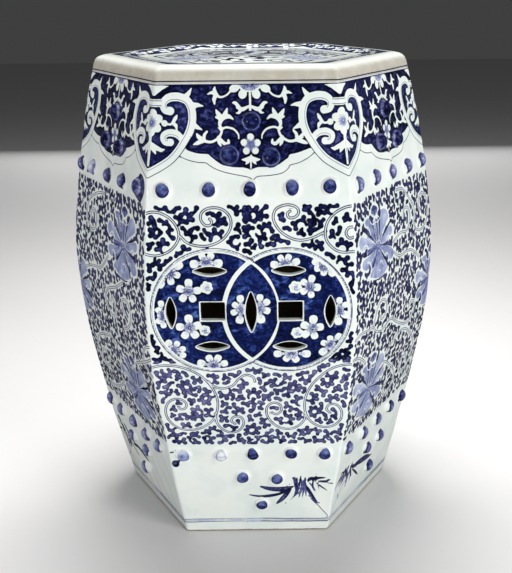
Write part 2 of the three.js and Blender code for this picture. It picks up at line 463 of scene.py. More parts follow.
class Coral:
    """Grows lobed scroll leaves into the free ground."""

    def __init__(self, cv, rng, ok, gap=1.3, vgap=0.6, cap=9000):
        self.cv, self.rng, self.ok = cv, rng, ok
        self.gap, self.vgap = gap, vgap
        self.N = np.zeros((cap, 3))
        self.C = np.zeros(cap, int)
        self.n = 0
        self.parts = {}
        self.nc = 0

    def put(self, x, z, r, c):
        self.N[self.n] = (x, z, r)
        self.C[self.n] = c
        self.n += 1
        return self.n - 1

    def room(self, x, z, r, skip=(), own=None, own_gap=0.9, vg=None):
        if not self.ok(x, z, r):
            return -9
        v = self.cv.occ_at(x, z) - r - (self.vgap if vg is None else vg)
        if v < 0 or self.n == 0:
            return v
        a = self.N[: self.n]
        d = np.hypot(a[:, 0] - x, a[:, 1] - z) - a[:, 2] - r
        g = np.full(self.n, self.gap)
        if own is not None:
            g[self.C[: self.n] == own] = own_gap
        d = d - g
        if len(skip):
            d[list(skip)] = 9
        return min(v, d.min())

    def leaf(self, x, z, a, s, c, base, long=True):
        if self.rng.random() < 0.3:
            out = self.curl(x, z, a, s, c, base)
            if out:
                return out
        return self.oak(x, z, a, s, c, base)

    def oak(self, x, z, a, s, c, base):
        """A thin stem, then a bent spine with lobes down its sides and three at the tip."""
        rng = self.rng
        for attempt in range(8):
            short = attempt > 4
            m = rng.choice([-1, 1])
            k = m * rng.uniform(0.12, 0.42)
            n_stem = int(rng.integers(0, 3)) if short else int(rng.integers(1, 4))
            n_spine = int(rng.integers(0, 2)) if short else int(rng.integers(2, 5))
            b = a + rng.uniform(-0.45, 0.45) - k
            px, pz = x, z
            chain = [(x, z, b)]
            good = True
            for i in range(n_stem + n_spine):
                b += k * (1.0 if i < n_stem else 0.8)
                st = (1.6 if i < n_stem else 2.15) * s
                px += st * math.cos(b)
                pz += st * math.sin(b)
                if self.room(px, pz, (0.85 if i < n_stem else 1.15) * s, skip=base, own=c, own_gap=0.7, vg=-0.6 if i == 0 else 0.4) < 0:
                    good = False
                    break
                chain.append((px, pz, b))
            if not good:
                continue
            lobes = []

            def lobe(ox, oz, e, size, reach):
                for q in (1.0, 0.86, 0.74):
                    rl = s * size * q * rng.uniform(1.95, 2.35)
                    d = (reach * s + rl * 0.95) * rng.uniform(0.97, 1.1)
                    lx, lz = ox + d * math.cos(e), oz + d * math.sin(e)
                    if self.room(lx, lz, rl, skip=base, own=c, own_gap=0.7) >= 0 and all(math.hypot(lx - l[0], lz - l[1]) > (rl + l[2]) * 0.97 for l in lobes):
                        lobes.append((lx, lz, rl, e, ox, oz))
                        return True
                return False

            tx, tz, tb = chain[-1]
            turn = k * 1.2
            tip = lobe(tx, tz, tb + turn * 0.5, 1.05, 0.7)
            lobe(tx, tz, tb + turn * 0.5 - m * rng.uniform(1.05, 1.3), 1.0, 0.8)
            lobe(tx, tz, tb + turn * 0.5 + m * rng.uniform(1.1, 1.4), 0.85, 0.7)
            if len(lobes) < (2 if short else 3):
                continue
            # outer side first, then the hollow side
            for i in range(len(chain) - 2, n_stem - 1, -1):
                if i < 0:
                    break
                ox, oz, ob = chain[i]
                lobe(ox, oz, ob - m * rng.uniform(1.0, 1.35), 0.97, 0.7)
                if abs(k) < 0.3 or rng.random() < 0.5:
                    lobe(ox, oz, ob + m * rng.uniform(1.1, 1.45), 0.8, 0.6)
            P = self.parts[c]
            ids = []
            for i in range(len(chain) - 1):
                w0 = (0.8 if i < n_stem else 1.25) * s
                w1 = (0.8 if i + 1 < n_stem else 1.3) * s
                P.append((*chain[i][:2], *chain[i + 1][:2], w0, w1))
                ids.append(self.put(*chain[i + 1][:2], w1, c))
            out = []
            for lx, lz, rl, e, ox, oz in lobes:
                P.append((ox, oz, lx, lz, 1.3 * s, rl * 0.97))
                ids.append(self.put(lx, lz, rl, c))
                out.append((lx, lz, e, ids[-1]))
            return ids, out
        return None

    def curl(self, x, z, a, s, c, base):
        """An open round hook with lobes along its outer side."""
        rng = self.rng
        for attempt in range(4):
            m = rng.choice([-1, 1])
            R = s * rng.uniform(3.3, 4.7) * (1.0, 1.0, 0.9, 0.8)[attempt]
            b = a + rng.uniform(-0.35, 0.35)
            ox, oz = x + R * math.cos(b + m * math.pi / 2), z + R * math.sin(b + m * math.pi / 2)
            t0 = b - m * math.pi / 2
            step = 1.5 * s / R
            chain = [(x, z)]
            ts = [0.0]
            t = 0.0
            while t < (3.3, 3.0, 2.8, 2.5)[attempt]:
                t += step
                px, pz = ox + R * math.cos(t0 + m * t), oz + R * math.sin(t0 + m * t)
                if self.room(px, pz, 0.95 * s, skip=base, own=c, own_gap=0.7, vg=-0.6 if len(ts) == 1 else 0.4) < 0:
                    break
                chain.append((px, pz))
                ts.append(t)
            if len(chain) < 4:
                continue
            t = ts[-1]
            end = None
            for q in (1.0, 0.85, 0.7):
                re = s * q * rng.uniform(2.0, 2.35)
                te = t + 0.2 * re / R
                ex, ez = ox + (R + 0.1 * re) * math.cos(t0 + m * te), oz + (R + 0.1 * re) * math.sin(t0 + m * te)
                if self.room(ex, ez, re, skip=base, own=c, own_gap=0.7) >= 0:
                    end = (ex, ez, re, t0 + m * (te + math.pi / 2))
                    break
            if end is None:
                continue
            lobes = []
            u = t - rng.uniform(0.55, 0.75)
            while u > 0.7:
                placed = False
                for q in (1.0, 0.84, 0.7):
                    rl = s * q * rng.uniform(1.9, 2.3)
                    d = R + (0.35 + 0.92) * rl + rng.uniform(-0.2, 0.35) * s
                    lx, lz = ox + d * math.cos(t0 + m * u), oz + d * math.sin(t0 + m * u)
                    if self.room(lx, lz, rl, skip=base, own=c, own_gap=0.7) >= 0 and all(math.hypot(lx - l[0], lz - l[1]) > (rl + l[2]) * 0.97 for l in lobes) and math.hypot(lx - end[0], lz - end[1]) > (rl + end[2]) * 0.92:
                        lobes.append((lx, lz, rl, t0 + m * u, u))
                        placed = True
                        break
                u -= (2.0 * rl / (R + rl) if placed else 0.3) * rng.uniform(1.0, 1.4)
            if len(lobes) < 2:
                continue
            P = self.parts[c]
            ids = []
            w = np.linspace(0.7, 1.3, len(chain)) * s
            for i in range(len(chain) - 1):
                P.append((*chain[i], *chain[i + 1], w[i], w[i + 1]))
                ids.append(self.put(*chain[i + 1], w[i + 1], c))
            P.append((*chain[-1], end[0], end[1], 1.3 * s, end[2] * 0.97))
            ids.append(self.put(end[0], end[1], end[2], c))
            out = [(end[0], end[1], end[3], ids[-1])]
            for lx, lz, rl, e, u in lobes:
                bx, bz = ox + R * math.cos(t0 + m * u), oz + R * math.sin(t0 + m * u)
                P.append((bx, bz, lx, lz, 1.2 * s, rl * 0.97))
                ids.append(self.put(lx, lz, rl, c))
                out.append((lx, lz, e, ids[-1]))
            return ids, out
        return None

    def grow(self, x, z, a, s, generations, base=(), p=0.8):
        c = self.nc
        self.nc += 1
        self.parts[c] = []
        buds = [(x, z, a, tuple(base), 0)]
        made = 0
        while buds:
            bx, bz, ba, bs, gen = buds.pop(0)
            out = self.leaf(bx, bz, ba, s, c, bs)
            if out is None:
                continue
            made += 1
            ids, lobes = out
            if gen + 1 < generations:
                self.rng.shuffle(lobes)
                for lx, lz, e, i in lobes[: (2 if gen == 0 else 1)]:
                    if self.rng.random() < p:
                        buds.append((lx, lz, e, tuple(ids) + tuple(bs), gen + 1))
        if not made:
            del self.parts[c]
            self.nc -= 1
        return made

    def fill(self, box, sizes=(1.0, 0.86, 0.7), reach=7.5, step=1.25):
        """More heads and lobes where there is room, joined to what is near."""
        rng = self.rng
        for k, s in enumerate(sizes):
            gx, gz = np.meshgrid(np.arange(box[0], box[1], step), np.arange(box[2], box[3], step))
            pts = np.stack([gx.ravel() + rng.uniform(-0.6, 0.6, gx.size), gz.ravel() + rng.uniform(-0.6, 0.6, gx.size)], 1)
            rng.shuffle(pts)
            # small heads first
            for x, z in pts:
                if self.room(x, z, 2.3 * s) < 0:
                    continue
                self.grow(x, z, rng.uniform(0, 6.283), s, 2 if k == 0 else 1)
            for x, z in pts:
                r = 2.3 * s * rng.uniform(0.9, 1.1)
                if self.room(x, z, r) < 0:
                    continue
                a = self.N[: self.n]
                d = np.hypot(a[:, 0] - x, a[:, 1] - z) - a[:, 2]
                done = False
                for j in np.argsort(d)[:6]:
                    if d[j] > reach * s:
                        break
                    jx, jz, jr = a[j]
                    L = math.hypot(x - jx, z - jz)
                    bend = rng.choice([-1, 1]) * rng.uniform(0.1, 0.3) * L
                    nx, nz = -(z - jz) / L, (x - jx) / L
                    mid = [(jx + (x - jx) * t + nx * bend * 4 * t * (1 - t), jz + (z - jz) * t + nz * bend * 4 * t * (1 - t)) for t in (0.3, 0.62)]
                    c = self.C[j]
                    clear = True
                    for mx, mz in mid:
                        if math.hypot(mx - jx, mz - jz) < jr + 0.3:
                            continue
                        if self.cv.occ_at(mx, mz) < 1.3 or not self.ok(mx, mz, 1.0):
                            clear = False
                            break
                        dd = np.hypot(a[:, 0] - mx, a[:, 1] - mz) - a[:, 2] - 1.0
                        dd[j] = 9
                        oth = self.C[: self.n] != c
                        if (dd[oth] < 0.9).any() or (dd[~oth] < 0.2).any():
                            clear = False
                            break
                    if not clear:
                        continue
                    P = self.parts[c]
                    pts2 = [(jx, jz)] + mid + [(x, z)]
                    rr = [min(jr * 0.6, 1.3), 1.0, 1.15, r]
                    for q in range(3):
                        P.append((*pts2[q], *pts2[q + 1], rr[q], rr[q + 1]))
                    for mx, mz in mid:
                        if math.hypot(mx - jx, mz - jz) > jr + 0.8:
                            self.put(mx, mz, 1.0, c)
                    self.put(x, z, r, c)
                    done = True
                    break
                if not done and k >= 1:
                    # a comma of its own
                    c = self.nc
                    b = rng.uniform(0, 6.283)
                    for db in (0, 1.0, 2.0, 3.0, 4.0, 5.0):
                        ex, ez = x + (r + 1.9) * math.cos(b + db), z + (r + 1.9) * math.sin(b + db)
                        if self.room(ex, ez, 0.6) > -0.2:
                            break
                    else:
                        continue
                    self.nc += 1
                    self.parts[c] = [(x, z, ex, ez, r, 0.55)]
                    self.put(x, z, r, c)
                    self.put(ex, ez, 0.6, c)

    def paint(self, tone, hue, vary=0.07, fat=0.2):
        rng = self.rng
        for c, P in self.parts.items():
            if not P:
                continue
            P = [(*p[:4], p[4] + fat, p[5] + fat) for p in P]
            t0 = tone + rng.normal(0, vary * 0.6)
            self.cv.add(blob(P, 0.34), float(np.clip(t0, 0.1, 1)), hue, occ=False)
            for p in P:
                # brush loaded unevenly from lobe to lobe
                sh = blob([p], 0.2)
                (xa, xb, za, zb), fn = sh
                w = self.cv.win(xa, xb, za, zb)
                if w is None:
                    continue
                sl, x, z = w
                sd = fn(x, z)
                wgt = np.clip((sd + 0.8) / 1.6, 0, 1)
                t1 = float(np.clip(tone + rng.normal(0, vary), 0.1, 1))
                T = self.cv.T[sl]
                T += (t1 - T) * wgt * 0.7


# ---- barrel profile, corner radius against height
PROFILE = np.array([[0, 146.4], [12, 149.4], [24, 152.3], [50, 158.2], [80, 164.6], [110, 170.4], [145, 177.2], [180, 183.2], [215, 187.3], [250, 188.9], [285, 188.0], [320, 184.1], [355, 178.3], [390, 171.3], [420, 164.3], [452.2, 155.6]])


def nspline(x, y):
    n = len(x)
    h = np.diff(x)
    A = np.zeros((n, n))
    b = np.zeros(n)
    A[0, 0] = A[-1, -1] = 1
    for i in range(1, n - 1):
        A[i, i - 1] = h[i - 1]
        A[i, i] = 2 * (h[i - 1] + h[i])
        A[i, i + 1] = h[i]
        b[i] = 6 * ((y[i + 1] - y[i]) / h[i] - (y[i] - y[i - 1]) / h[i - 1])
    m = np.linalg.solve(A, b)

    def f(q):
        q = np.asarray(q, float)
        k = np.clip(np.searchsorted(x, q) - 1, 0, n - 2)
        t0, t1 = x[k + 1] - q, q - x[k]
        hk = h[k]
        return m[k] * t0**3 / (6 * hk) + m[k + 1] * t1**3 / (6 * hk) + (y[k] / hk - m[k] * hk / 6) * t0 + (y[k + 1] / hk - m[k + 1] * hk / 6) * t1

    return f


RZ = nspline(PROFILE[:, 0], PROFILE[:, 1])


def hw(z):
    return float(RZ(z)) / 2


SQUARES = [(-34.5, 258.0, 11.0, 8.6), (35.5, 258.0, 11.0, 8.6)]
LENSES = [(-36, 295.5, 14.5, 3.9), (34, 295.5, 14.5, 3.9), (-36, 223.5, 15, 4.3), (35, 223.5, 15, 4.3), (-72.5, 257, 4.5, 14.5), (0, 257, 5, 19), (71.5, 257, 4.8, 14.5)]


def lens_pts(cx, cz, a, b, grow=0.0, n=10):
    a, b = a + grow, b + grow
    L, s = max(a, b), min(a, b)
    t = np.linspace(-1, 1, n + 1)[:-1]
    up = np.stack([t * L, -s * (1 - t * t)], 1)
    t = np.linspace(1, -1, n + 1)[:-1]
    dn = np.stack([t * L, s * (1 - t * t)], 1)
    q = np.vstack([up, dn])
    if a < b:
        q = np.stack([-q[:, 1], q[:, 0]], 1)
    return q + [cx, cz]


def rect_pts(cx, cz, a, b, grow=0.0):
    a, b = a + grow, b + grow
    return np.array([(cx - a, cz - b), (cx + a, cz - b), (cx + a, cz + b), (cx - a, cz + b)])


def offset(pts, d):
    p = np.asarray(pts, float)
    t = np.gradient(p, axis=0)
    t /= np.maximum(np.hypot(t[:, 0], t[:, 1])[:, None], 1e-9)
    return p + d * np.stack([-t[:, 1], t[:, 0]], 1)


def flip(pts, s, c):
    """from corner coordinates (distance from the corner, z) to the wall"""
    return [(s * (c(z) - a), z) for a, z in pts]


# ---------------------------------------------------------------- collar of lappets
CONTOUR = [(-54.8, 401.5), (-51.2, 398.3), (-42.8, 395.8), (-34.5, 395.2), (-32.4, 393.6), (-27.2, 389.4), (-21.2, 386.0), (-12.0, 384.2), (-4.0, 383.9), (0.5, 382.6), (2.3, 381.4), (4.2, 382.8), (9.0, 384.1), (18.0, 384.2), (26.0, 386.0), (31.5, 389.6), (34.6, 391.8), (35.9, 394.2), (43.3, 395.8), (53.0, 399.3)]
BORDER = [(-61.5, 396.2), (-58.0, 393.6), (-51.5, 390.6), (-43.0, 388.6), (-36.5, 388.2), (-34.0, 386.6), (-28.5, 383.2), (-20.1, 380.2), (-9.2, 377.8), (-1.9, 376.4), (1.6, 375.2), (4.2, 373.6), (6.4, 375.6), (9.1, 376.6), (17.6, 377.1), (27.4, 378.6), (32.4, 381.0), (34.9, 383.6), (36.2, 385.6), (43.2, 387.4), (50.5, 390.8), (57.0, 395.6)]
RUYI = [(15.6, 430.4), (10.6, 431.4), (9.2, 437.0), (13.8, 441.0), (21.6, 441.4), (29.2, 438.2), (33.6, 431.0), (34.9, 422.0), (33.2, 413.0), (29.4, 405.2), (25.2, 398.0), (19.2, 391.0), (11.4, 385.6), (4.0, 381.6), (-2.0, 378.6)]
CURL = [(18.0, 405.2), (13.2, 405.4), (11.6, 410.2), (16.2, 412.9), (23.2, 411.6), (28.6, 406.6)]


def ruyi(cv, s, rng):
    c = hw
    main = spline(RUYI, 7)
    P = lambda pts: flip(pts, s, c)
    core = [tuple(p) for p in main if p[0] > -1.5]
    inner = [(-3, 436.5), (9, 436.5)] + core + [(-3, core[-1][1])]
    # clear the ground behind the cloud head, then its blue field
    outer = [(-3, 441), (9, 445)] + [tuple(p) for p in offset(main, 3.4)] + [(-3, 376)]
    cv.cut(polygon(P([(-3, 436), (6, 436), (20, 438)] + [tuple(p) for p in main[14:]] + [(-3, 377)])), lines=True)
    cv.add(polygon(P(inner)), 0.9, 0.35)
    r = lerp_radii([3.3, 2.6, 2.9, 3.4, 3.4, 3.3, 3.3, 3.3, 3.3, 3.3, 3.3, 3.4, 3.5, 3.5, 3.5], len(main))
    cv.cut(stroke(P([tuple(p) for p in main]), r))
    # spikes
    for pts, rr in (([(26.5, 440.5), (29.5, 444.0), (31.6, 448.3)], [2.6, 1.7, 0.35]), ([(33.2, 434.5), (38.5, 434.9), (43.6, 434.0)], [2.9, 1.6, 0.3]), ([(34.4, 420.0), (39.6, 417.2), (44.4, 415.0)], [3.0, 1.7, 0.3])):
        cv.cut(stroke(P(pts), rr))
    cu = spline(CURL, 7)
    cv.cut(stroke(P([tuple(p) for p in cu]), lerp_radii([3.0, 2.3, 2.6, 2.9, 2.9, 2.4], len(cu))))
    # fine lines that follow the white scroll
    cv.line(P([tuple(p) for p in offset(main, -2.0)][4:-2]), w=0.22, ink=0.62)
    cv.line(P([tuple(p) for p in offset(main, 3.4)][58:]), w=0.34, ink=0.85)
    cv.line(P([tuple(p) for p in offset(cu, -1.4)][3:-4]), w=0.2, ink=0.6)
    # bar across the corner, white tongue above it
    cv.cut(polygon(P([(-3, 433.8), (7.6, 433.8), (7.6, 439.8), (-3, 439.8)])))
    cv.line(P([(-3, 434.8), (7.4, 434.8)]), w=0.28, ink=0.7)
    cv.line(P([(-3, 438.6), (7.2, 438.6)]), w=0.28, ink=0.7)
    cv.cut(polygon(P([(-3, 451.5), (12.6, 450.2), (7.0, 447.4), (1.2, 442.6), (-3, 442.6)])))
    # flower on the corner with its bud and leaf
    cv.cut(disc(s * c(421), 421.2, 3.6))
    for a in (0.42, 1.42, -0.62, -1.52):
        cx, cz = 6.3 * math.cos(a), 421.2 + 7.0 * math.sin(a)
        cv.cut(ellipse(*P([(cx, cz)])[0], 4.1, 3.5, s * -a))
    cv.pale(disc(s * c(421), 421.2, 4.0), 0.34)
    for a in (-1.3, -0.75, -0.2, 0.35, 0.9, 1.45):
        cv.line(P([(1.2 * math.cos(a), 421.2 + 1.2 * math.sin(a)), (4.9 * math.cos(a), 421.2 + 5.2 * math.sin(a))]), w=0.18, ink=0.5)
    cv.line(P([(1.5 * math.cos(a), 421.2 + 1.5 * math.sin(a)) for a in np.linspace(-1.5, 1.5, 7)]), w=0.3, ink=0.7)
    cv.cut(disc(*P([(11.6, 420.6)])[0], 2.6))
    cv.cut(stroke(P([(12, 420.4), (16.5, 419.6), (19.6, 421.4)]), [0.9, 0.8, 1.0]))
    cv.cut(stroke(P([(18.6, 421.0), (20.6, 424.6), (21.6, 427.0)]), [1.2, 1.5, 0.6]))
    cv.cut(stroke(P([(18.6, 420.6), (21.4, 418.8), (22.6, 415.4)]), [1.2, 1.5, 0.5]))
    cv.cut(stroke(P([(0.9, 414), (1.0, 400), (0.6, 386)]), [0.75, 0.65, 0.5]))
    cv.cut(stroke(P([(1.2, 405.0), (5.2, 401.4), (10.6, 398.8), (13.4, 399.4)]), [1.0, 2.0, 1.5, 0.4]))
    cv.cut(stroke(P([(1.2, 405.0), (4.2, 399.0), (6.2, 395.6)]), [1.0, 1.7, 0.4]))


def sprigs(cv, m):
    """White leaf sprays on the blue collar, one side; m is +1 or -1."""
    P = lambda pts: [(m * (x - 2.3) + 2.3, z) for x, z in pts]
    S = lambda pts, r, n=6: cv.cut(stroke(spline(P(pts), n), lerp_radii(r, (len(pts) - 1) * n + 1)))
    # beside the top flower
    S([(-13, 446.6), (-17.2, 442.6), (-22.4, 441.0), (-26.0, 443.0)], [0.7, 0.7, 0.8, 1.3])
    S([(-26.0, 443.0), (-27.4, 446.4), (-27.0, 449.2)], [1.6, 1.5, 0.5])
    S([(-26.0, 443.0), (-29.8, 444.6), (-33.4, 443.4)], [1.5, 1.2, 0.4])
    S([(-26.0, 443.0), (-27.8, 439.6), (-27.6, 435.8)], [1.7, 1.6, 0.7])
    # under it
    S([(1.2, 433.4), (-4.2, 431.2), (-8.4, 432.8)], [1.0, 1.7, 1.2])
    S([(-6.2, 432.0), (-9.8, 436.0), (-12.4, 436.4)], [1.3, 1.4, 0.5])
    S([(-5.0, 431.4), (-7.0, 428.6), (-9.6, 428.2)], [1.2, 1.1, 0.4])
    # the upright spray
    S([(-12.0, 423.2), (-15.8, 425.6), (-21.4, 424.2), (-23.6, 419.0), (-21.8, 414.4), (-24.6, 408.8), (-31.0, 405.2), (-38.0, 406.2)], [0.5, 1.6, 2.2, 1.2, 0.9, 1.0, 1.0, 1.2])
    S([(-21.4, 424.4), (-24.6, 427.6), (-26.6, 431.2)], [1.9, 1.8, 0.5])
    S([(-20.6, 424.8), (-18.4, 428.4), (-17.0, 432.0)], [1.7, 1.7, 0.6])
    S([(-27.2, 425.2), (-24.4, 424.6)], [0.5, 1.4])
    S([(-22.0, 415.6), (-17.4, 416.8), (-11.6, 415.2), (-8.0, 411.0), (-7.6, 407.6)], [0.9, 0.85, 0.8, 0.7, 0.5])
    S([(-25.2, 416.6), (-22.0, 414.6)], [0.4, 1.2])
    # low leaves
    S([(-38.0, 406.2), (-41.8, 409.4), (-43.4, 412.0)], [1.7, 1.7, 0.5])
    S([(-37.4, 406.8), (-36.8, 411.0), (-34.6, 413.6)], [1.4, 1.2, 0.9])
    S([(-38.6, 406.0), (-43.0, 404.4), (-46.4, 403.2)], [1.7, 1.6, 0.5])
    S([(-24.8, 408.6), (-24.2, 404.8), (-23.0, 401.6)], [1.5, 1.6, 0.5])
    S([(-23.4, 407.4), (-19.4, 403.4), (-16.4, 404.4), (-16.6, 406.8)], [1.2, 1.5, 1.2, 0.7])


def collar(cv, rng, phase=0.0):
    top = 451.2
    con = spline(CONTOUR, 3)
    ground = [(-110, top), (110, top), (110, 401)] + [tuple(p) for p in con[::-1]] + [(-110, 401)]
    cv.add(polygon(ground), 0.985, 0.35)
    bd = spline(BORDER, 4)
    cv.line(bd, w=0.34, ink=0.85)
    # hanging flower at the top
    for x, z, a, b in ((-10.6, 447.9, 4.4, 3.1), (-3.6, 443.2, 3.9, 3.4), (7.8, 443.2, 3.9, 3.4), (15.6, 447.6, 4.4, 3.1)):
        cv.cut(ellipse(x, z, a, b, math.atan2(z - 452, x - 2.3)))
    cv.cut(ellipse(2.3, 450.0, 9.4, 5.0))
    cv.pale(ellipse(2.3, 450.6, 8.2, 4.6), 0.2)
    for a in np.linspace(-2.95, -0.2, 12):
        cv.line([(2.3 + 2.4 * math.cos(a), 451.4 + 1.6 * math.sin(a)), (2.3 + 8.2 * math.cos(a), 451.4 + 5.6 * math.sin(a))], w=0.2, ink=0.55)
    cv.line([(2.3 + 3.2 * math.cos(a), 451.6 + 2.0 * math.sin(a)) for a in np.linspace(-3.1, 0, 9)], w=0.3, ink=0.8)
    cv.cut(stroke([(2.4, 444), (2.6, 437), (2.5, 430.6)], [0.9, 0.85, 1.0]))
    sprigs(cv, 1)
    sprigs(cv, -1)
    prunus(cv, 2.6, 402.6, 9.0, math.pi / 2 + rng.uniform(-0.1, 0.1), rng=rng, petal=0.33)
    cv.cut(stroke([(2.6, 394), (2.4, 388), (2.3, 383)], [0.7, 0.7, 0.6]))
    for m in (-1, 1):
        cv.cut(stroke([(2.5, 392.6), (2.5 + m * 4.0, 390.4), (2.5 + m * 7.6, 390.4)], [0.9, 1.7, 0.5]))
        cv.cut(stroke([(2.5, 392.6), (2.5 + m * 2.8, 388.4), (2.5 + m * 4.6, 386.6)], [0.8, 1.2, 0.4]))
    for s in (-1, 1):
        ruyi(cv, s, rng)
    # lines under the rim
    cv.cut(polygon([(-110, 451.3), (110, 451.3), (110, 458), (-110, 458)]))
    cv.line([(-110, 453.6), (110, 453.6)], w=0.42, ink=0.9)
    cv.line([(-110, 451.1), (110, 451.1)], w=0.4, ink=0.9)


# ---------------------------------------------------------------- coin medallions
FLOWERS = [
    ((-38.7, 303.2), [(-49.2, 302.1), (-42.0, 308.6), (-34.6, 309.0), (-28.3, 302.7)]),
    ((-72.1, 294.8), [(-63.6, 300.9), (-65.3, 292.4), (-70.8, 287.1), (-79.7, 284.5)]),
    ((-55.4, 277.7), [(-55.1, 284.6), (-62.3, 279.6), (-47.9, 278.0), (-60.5, 271.3), (-52.2, 270.7)]),
    ((-79.9, 255.0), [(-80.6, 265.9), (-83.2, 259.8), (-83.4, 249.8), (-79.6, 245.7)]),
    ((-56.1, 242.6), [(-56.6, 250.9), (-64.5, 243.7), (-49.7, 244.5), (-60.5, 235.7), (-51.9, 236.1)]),
    ((-72.3, 220.0), [(-75.7, 228.0), (-68.6, 226.9), (-63.9, 221.7), (-63.8, 215.6)]),
    ((-35.8, 203.5), [(-47.0, 207.0), (-39.5, 211.6), (-31.8, 211.5), (-26.1, 206.2)]),
    ((-8.6, 260.2), [(-9.4, 270.1), (-14.0, 264.1), (-15.2, 257.3), (-10.4, 250.2)]),
    ((7.7, 261.1), [(8.2, 270.8), (14.0, 266.6), (13.9, 258.7), (8.8, 250.8)]),
    ((30.8, 300.5), [(21.7, 300.9), (27.3, 306.3), (33.8, 306.7), (40.5, 303.1)]),
    ((65.1, 298.0), [(57.8, 302.4), (59.8, 296.9), (65.1, 293.4), (72.4, 292.7)]),
    ((53.1, 280.4), [(54.5, 287.5), (47.7, 284.6), (58.9, 279.8), (54.0, 273.3), (47.5, 276.4)]),
    ((78.1, 257.8), [(79.4, 267.2), (84.4, 263.0), (84.6, 254.0), (78.8, 247.7)]),
    ((55.4, 241.0), [(56.1, 249.1), (48.8, 243.8), (61.6, 242.0), (57.2, 233.9), (49.3, 235.6)]),
    ((72.0, 224.0), [(71.7, 230.3), (79.1, 232.4), (66.3, 226.0), (65.4, 217.5)]),
    ((36.1, 216.2), [(23.8, 215.8), (31.8, 211.1), (39.9, 210.4), (49.4, 215.5)]),
]
BUDS = [(-39.2, 280.7, 5.6), (-42.5, 239.6, 4.9), (39.9, 280.1, 5.5), (41.3, 236.8, 5.3)]


def blossom(cv, c, petals, rng, wash=0.2, clip=None, big=4.25, small=3.3):
    """Plum flower: separate white petals round a hatched lilac eye."""
    cx, cz = c
    rm = float(np.mean([math.hypot(x - cx, z - cz) for x, z in petals]))
    core = rm * 0.6
    eye = disc(cx, cz, core)
    if clip is not None:
        box, fe = eye
        eye = (box, lambda x, z: np.minimum(fe(x, z), clip(x, z)))
    cv.cut(eye)
    cv.pale(eye, wash)
    cv.tint(eye, lambda x, z: 0.2 - 0.15 * np.hypot(x - cx, z - cz) / core * 2)
    for i, (x, z) in enumerate(petals):
        near = min([math.hypot(x - p[0], z - p[1]) for j, p in enumerate(petals) if j != i] or [9])
        a = math.atan2(z - cz, x - cx)
        lb = min(big, max(small, 0.5 * near - 0.08)) * rng.uniform(0.8, 0.88)
        la = lb * rng.uniform(1.1, 1.24)
        q = rng.uniform(0, 1)
        body = ellipse(x, z, la, lb, a)
        lip1 = ellipse(x + 0.35 * la * math.cos(a + 0.8), z + 0.35 * la * math.sin(a + 0.8), la * 0.72, lb * 0.72, a)
        lip2 = ellipse(x + 0.35 * la * math.cos(a - 0.8), z + 0.35 * la * math.sin(a - 0.8), la * 0.72, lb * 0.72, a)
        cv.cut(body)
        cv.cut(lip1)
        cv.cut(lip2)
        # the foot of the petal, drawn down to the eye
        cv.cut(capsule(x - 0.3 * la * math.cos(a), z - 0.3 * la * math.sin(a), x - 1.15 * la * math.cos(a), z - 1.15 * la * math.sin(a), lb * 0.72, lb * 0.36))
        t = np.linspace(2.2, 2 * math.pi - 2.2, 9)
        ca, sa = math.cos(a), math.sin(a)
        px, pz = la * 1.0 * np.cos(t), lb * 0.96 * np.sin(t)
        cv.line(np.stack([x + px * ca - pz * sa, z + px * sa + pz * ca], 1), w=0.2, ink=0.5)
        # a breath of blue at the root of the petal
        cv.pale(ellipse(x - 0.5 * la * ca, z - 0.5 * la * sa, la * 0.5, lb * 0.5, a), 0.1)
    for x, z in petals:
        a = math.atan2(z - cz, x - cx) + rng.uniform(-0.1, 0.1)
        for da in (-0.4, 0.0, 0.4):
            b = a + da
            r1 = core + (0.7 if da == 0 else 0.0)
            cv.line([(cx + 1.4 * math.cos(b), cz + 1.4 * math.sin(b)), (cx + r1 * math.cos(b), cz + r1 * math.sin(b))], w=0.21, ink=0.6)
    t = np.linspace(0, TAU, 10)
    cv.line(np.stack([cx + 1.15 * np.cos(t), cz + 1.15 * np.sin(t)], 1), w=0.36, ink=0.72)


def coin_bud(cv, cx, cz, r, rng):
    k = 6
    rot = rng.uniform(0, 6)
    for i in range(k):
        a = rot + TAU * i / k
        cv.cut(disc(cx + 0.62 * r * math.cos(a), cz + 0.62 * r * math.sin(a), r * rng.uniform(0.4, 0.5)))
    cv.cut(disc(cx, cz, r * 0.66))
    cv.pale(disc(cx + 0.1 * r, cz - 0.1 * r, r * 0.34), 0.3)
    t = np.linspace(0, 5.2, 16)
    q = r * (0.12 + 0.085 * t)
    cv.line(np.stack([cx + 0.15 * r + q * np.cos(t + rot), cz - 0.1 * r + q * np.sin(t + rot)], 1), w=0.24, ink=0.62)
    for i in range(3):
        a = rot + 1.9 * i
        cv.line([(cx + 0.5 * r * math.cos(a + d), cz + 0.5 * r * math.sin(a + d)) for d in (0, 0.3, 0.6, 0.9)], w=0.16, ink=0.42)


